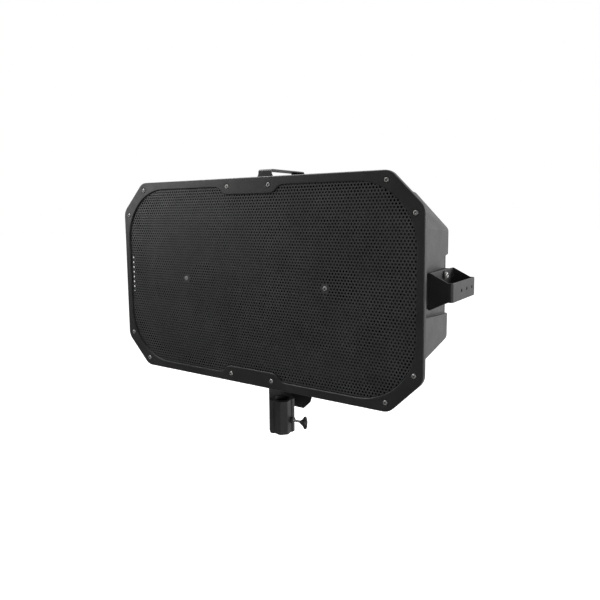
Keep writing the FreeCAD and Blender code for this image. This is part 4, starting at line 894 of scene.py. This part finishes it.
def build_rounded_shapes():
    """The pieces whose CAD shape is right and only needs its edges eased."""
    for node, (width, segments, body) in ROUNDED.items():
        softened(node, width, segments, body)
    for name, width in ROUNDED_MOUNT.items():
        for side in ("right", "left", "top", "bottom"):
            softened(f"{name}_{side}", width)
    for name, width in ROUNDED_DRIVER.items():
        for side in SIDES:
            softened(f"{name}_{side}", width)


build_rear_shell()
build_hardware()
build_rounded_shapes()
for connector_side in SIDES:
    twist_lock_socket(connector_side)

# ---------------------------------------------------------------- drivers


def turned(name, profile, side, slot, nodes, body="cabinet", steps=96):
    """A piece turned about a driver's axis. Heights are millimetres behind the baffle's front face."""
    mesh = bmesh.new()
    hub = centre(f"surround_{side}")
    origin = Vector((hub.x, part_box("baffle")[0].y, hub.z))
    lathe(mesh, [(r * MM, h * MM) for r, h in profile], origin, TO_BACK, steps)
    return piece(name, mesh, slot, nodes, body, smooth=45.0)


def half_roll(steps=18):
    """Outline of the surround: inner lip, half roll, outer lip."""
    middle, reach = (ROLL_INNER + ROLL_OUTER) / 2.0, (ROLL_OUTER - ROLL_INNER) / 2.0
    front, rear = [], []
    for k in range(steps + 1):
        angle = math.pi * (1.0 - k / steps)
        front.append((middle + reach * math.cos(angle), LIP_FRONT - ROLL_HEIGHT * math.sin(angle)))
        rear.append((middle + (reach - RUBBER_THICKNESS) * math.cos(angle),
                     LIP_REAR - (ROLL_HEIGHT - RUBBER_THICKNESS) * math.sin(angle)))
    outer_lip = [(LIP_OUTER, LIP_FRONT), (LIP_OUTER, LIP_REAR)]
    return [(LIP_INNER, LIP_FRONT)] + front + outer_lip + rear[::-1] + [(LIP_INNER, LIP_REAR)]


def pressed_ring(radius):
    """Height of the cone's pressed rings at a radius."""
    if not PRESSED_RINGS_FROM < radius < PRESSED_RINGS_TO:
        return 0.0
    wave = math.cos(2.0 * math.pi * (radius - PRESSED_RING_AT) / PRESSED_RING_SPACING)
    return PRESSED_RING_HEIGHT * max(0.0, wave) ** 3


def ribbed_cone(steps=72):
    """Outline of the paper cone: a slightly curved wall with pressed rings, and a flat glue edge."""
    front, rear = [], []
    for k in range(steps + 1):
        share = k / steps
        radius = CONE_NECK + (CONE_EDGE - CONE_NECK) * share
        height = (CONE_NECK_HEIGHT + (CONE_EDGE_HEIGHT - CONE_NECK_HEIGHT) * share
                  + CONE_BULGE * math.sin(math.pi * share) - pressed_ring(radius))
        front.append((radius, height))
        rear.append((radius + PAPER_ACROSS, height + PAPER_ALONG))
    return front + [(GLUE_EDGE, CONE_EDGE_HEIGHT), (GLUE_EDGE, GLUE_HEIGHT)] + rear[::-1]


def corrugated_spider(steps=140):
    """Outline of the spider: waves that fade out at the neck and at the flat outer rim."""
    front, rear = [], []
    for k in range(steps + 1):
        radius = CONE_NECK + (SPIDER_OUTER - CONE_NECK) * k / steps
        fade = max(0.0, min(1.0, (radius - CONE_NECK) / SPIDER_FADE, (SPIDER_FLAT - radius) / SPIDER_FADE))
        swing = SPIDER_WAVE_HEIGHT * fade * math.sin(2.0 * math.pi * (radius - CONE_NECK) / SPIDER_WAVE)
        front.append((radius, SPIDER_FRONT + swing))
        rear.append((radius, SPIDER_REAR + swing))
    return front + rear[::-1]


def round_wire(turns, start, pitch):
    """Points along a coil's side: how far each stands out, from 0 to 1, and its height."""
    return [(math.sin(math.pi * part / 4.0), start + pitch * (turn + part / 4.001))
            for turn in range(turns) for part in range(5)]


def wound_coil():
    """Outline of the voice coil: a thin former with round wire wound on it."""
    wire = [(WIRE_RADIUS + WIRE_HEIGHT * (0.75 + 0.25 * out), height)
            for out, height in round_wire(WIRE_TURNS, WIRE_START, WIRE_LENGTH / WIRE_TURNS)]
    upper = [(FORMER_INNER, FORMER_TOP), (FORMER_OUTER, FORMER_TOP), (FORMER_OUTER, WINDING_TOP)]
    lower = [(FORMER_OUTER, WINDING_END), (FORMER_OUTER, FORMER_END), (FORMER_INNER, FORMER_END)]
    return upper + wire + lower


def layered_inductor():
    """The crossover's air-core coil: layers of round wire between two thin cheeks."""
    low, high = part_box("inductor")
    middle = centre("inductor")
    length = (high.y - low.y) / MM
    outer = (high.x - low.x) / 2.0 / MM
    pitch = (length - 2.0 * INDUCTOR_CHEEK) / INDUCTOR_TURNS
    profile = [(INDUCTOR_BORE, 0.0), (outer, 0.0), (outer, INDUCTOR_CHEEK)]
    profile += [(outer - INDUCTOR_MARGIN + pitch * 0.5 * out, height)
                for out, height in round_wire(INDUCTOR_TURNS, INDUCTOR_CHEEK, pitch)]
    profile += [(outer, length - INDUCTOR_CHEEK), (outer, length), (INDUCTOR_BORE, length)]
    mesh = bmesh.new()
    lathe(mesh, [(r * MM, h * MM) for r, h in profile], Vector((middle.x, low.y, middle.z)), TO_BACK, 64)
    return piece("inductor_finished", mesh, "copper_wire", ["inductor"], smooth=45.0)


def follow_by_radius(obj, side, inner, outer):
    """The piece bends from the fixed basket at its outer edge to the moving cone at its inner one."""
    hub = centre(f"surround_{side}")
    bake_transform(obj, "cabinet", f"cone_{side}_moving", hub + Vector((outer * MM, 0.0, 0.0)),
             hub + Vector((inner * MM, 0.0, 0.0)))
    weights = obj.data.attributes["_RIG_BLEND"]
    for vert, weight in zip(obj.data.vertices, weights.data):
        radius = math.hypot(vert.co.x - hub.x, vert.co.z - hub.z) / MM
        share = min(1.0, max(0.0, (outer - radius) / (outer - inner)))
        weight.value = share * share * (3.0 - 2.0 * share)


def build_driver(side):
    moving = f"cone_{side}_moving"
    turned(f"cone_{side}_finished", ribbed_cone(), side, "paper_cone", [f"cone_{side}"], moving)
    turned(f"voice_coil_{side}_finished", wound_coil(), side, "copper_wire", [f"voice_coil_{side}"],
           moving, 64)
    for name, outline, slot, inner, outer in (
            ("surround", half_roll(), "surround_rubber", ROLL_INNER, ROLL_OUTER),
            ("spider", corrugated_spider(), "spider_cloth", SPIDER_BEND_INNER, SPIDER_BEND_OUTER)):
        made = turned(f"{name}_{side}_finished", outline, side, slot, [f"{name}_{side}"])
        made.parent = None
        follow_by_radius(made, side, inner, outer)


for driver_side in SIDES:
    build_driver(driver_side)
layered_inductor()

# ---------------------------------------------------------------- camera, lights and floor


def build_camera():
    azimuth, elevation, roll = CAMERA_AZIMUTH, CAMERA_ELEVATION, CAMERA_ROLL
    forward = Vector((-math.sin(azimuth) * math.cos(elevation), math.cos(azimuth) * math.cos(elevation),
                      -math.sin(elevation)))
    right = Vector((math.cos(azimuth), math.sin(azimuth), 0.0))
    up = right.cross(forward)
    turned_right = right * math.cos(roll) + up * math.sin(roll)
    turned_up = up * math.cos(roll) - right * math.sin(roll)
    data = bpy.data.cameras.new("camera")
    data.sensor_width = 36.0
    data.lens = CAMERA_LENS
    data.shift_y = CAMERA_SHIFT
    data.clip_end = 100.0
    camera = bpy.data.objects.new("camera", data)
    camera.matrix_world = Matrix((turned_right, turned_up, -forward)).transposed().to_4x4()
    camera.location = CAMERA_PLACE
    scene.collection.objects.link(camera)
    scene.camera = camera


def soft_box(name, place, wide, tall, power):
    data = bpy.data.lights.new(name, "AREA")
    data.shape = "RECTANGLE"
    data.size = wide
    data.size_y = tall
    data.energy = power
    light = bpy.data.objects.new(name, data)
    light.location = place
    light.rotation_euler = (LIGHT_TARGET - Vector(place)).to_track_quat("-Z", "Y").to_euler()
    scene.collection.objects.link(light)


def build_room():
    """A white backdrop, and a room that lights the object from behind and from its right."""
    world = bpy.data.worlds.new("studio")
    scene.world = world
    world.use_nodes = True
    tree = world.node_tree
    room = tree.nodes["Background"]
    room.inputs["Color"].default_value = (1.0, 1.0, 1.0, 1.0)
    toward = tree.nodes.new("ShaderNodeTexCoord")
    facing = tree.nodes.new("ShaderNodeVectorMath")
    facing.operation = "DOT_PRODUCT"
    facing.inputs[1].default_value = BRIGHT_SIDE
    tree.links.new(toward.outputs["Generated"], facing.inputs[0])
    fade = tree.nodes.new("ShaderNodeMapRange")
    fade.interpolation_type = "SMOOTHSTEP"
    for name, value in (("From Min", -0.2), ("From Max", 0.9), ("To Min", ROOM_DIM), ("To Max", ROOM_BRIGHT)):
        fade.inputs[name].default_value = value
    tree.links.new(facing.outputs["Value"], fade.inputs["Value"])
    tree.links.new(fade.outputs["Result"], room.inputs["Strength"])
    backdrop = tree.nodes.new("ShaderNodeBackground")
    backdrop.inputs["Color"].default_value = (1.0, 1.0, 1.0, 1.0)
    path = tree.nodes.new("ShaderNodeLightPath")
    either = tree.nodes.new("ShaderNodeMixShader")
    tree.links.new(path.outputs["Is Camera Ray"], either.inputs["Fac"])
    tree.links.new(room.outputs["Background"], either.inputs[1])
    tree.links.new(backdrop.outputs["Background"], either.inputs[2])
    tree.links.new(either.outputs["Shader"], tree.nodes["World Output"].inputs["Surface"])


def build_floor():
    mesh = bmesh.new()
    bmesh.ops.create_circle(mesh, cap_ends=True, radius=FLOOR_RADIUS, segments=96)
    bmesh.ops.translate(mesh, verts=mesh.verts, vec=(0.0, 0.0, FLOOR_HEIGHT))
    data = bpy.data.meshes.new("floor")
    mesh.to_mesh(data)
    mesh.free()
    f = Finish("floor")
    tone = f.mix(f.remap(f.noise(3.0, 4.0), 0.3, 0.7), (0.86, 0.86, 0.86), (0.9, 0.9, 0.9))
    seen = f.product(f.node("LightPath").outputs["Is Camera Ray"], FLOOR_GLOW)
    f.finish(tone, 0.9, None, **{"Emission Color": (1.0, 1.0, 1.0, 1.0), "Emission Strength": seen})
    data.materials.append(f.material)
    floor = bpy.data.objects.new("floor", data)
    scene.collection.objects.link(floor)
    floor.visible_glossy = False


build_camera()
build_room()
build_floor()
for light_name, light_settings in LIGHTS.items():
    soft_box(light_name, *light_settings)
scene.view_settings.view_transform = "Standard"
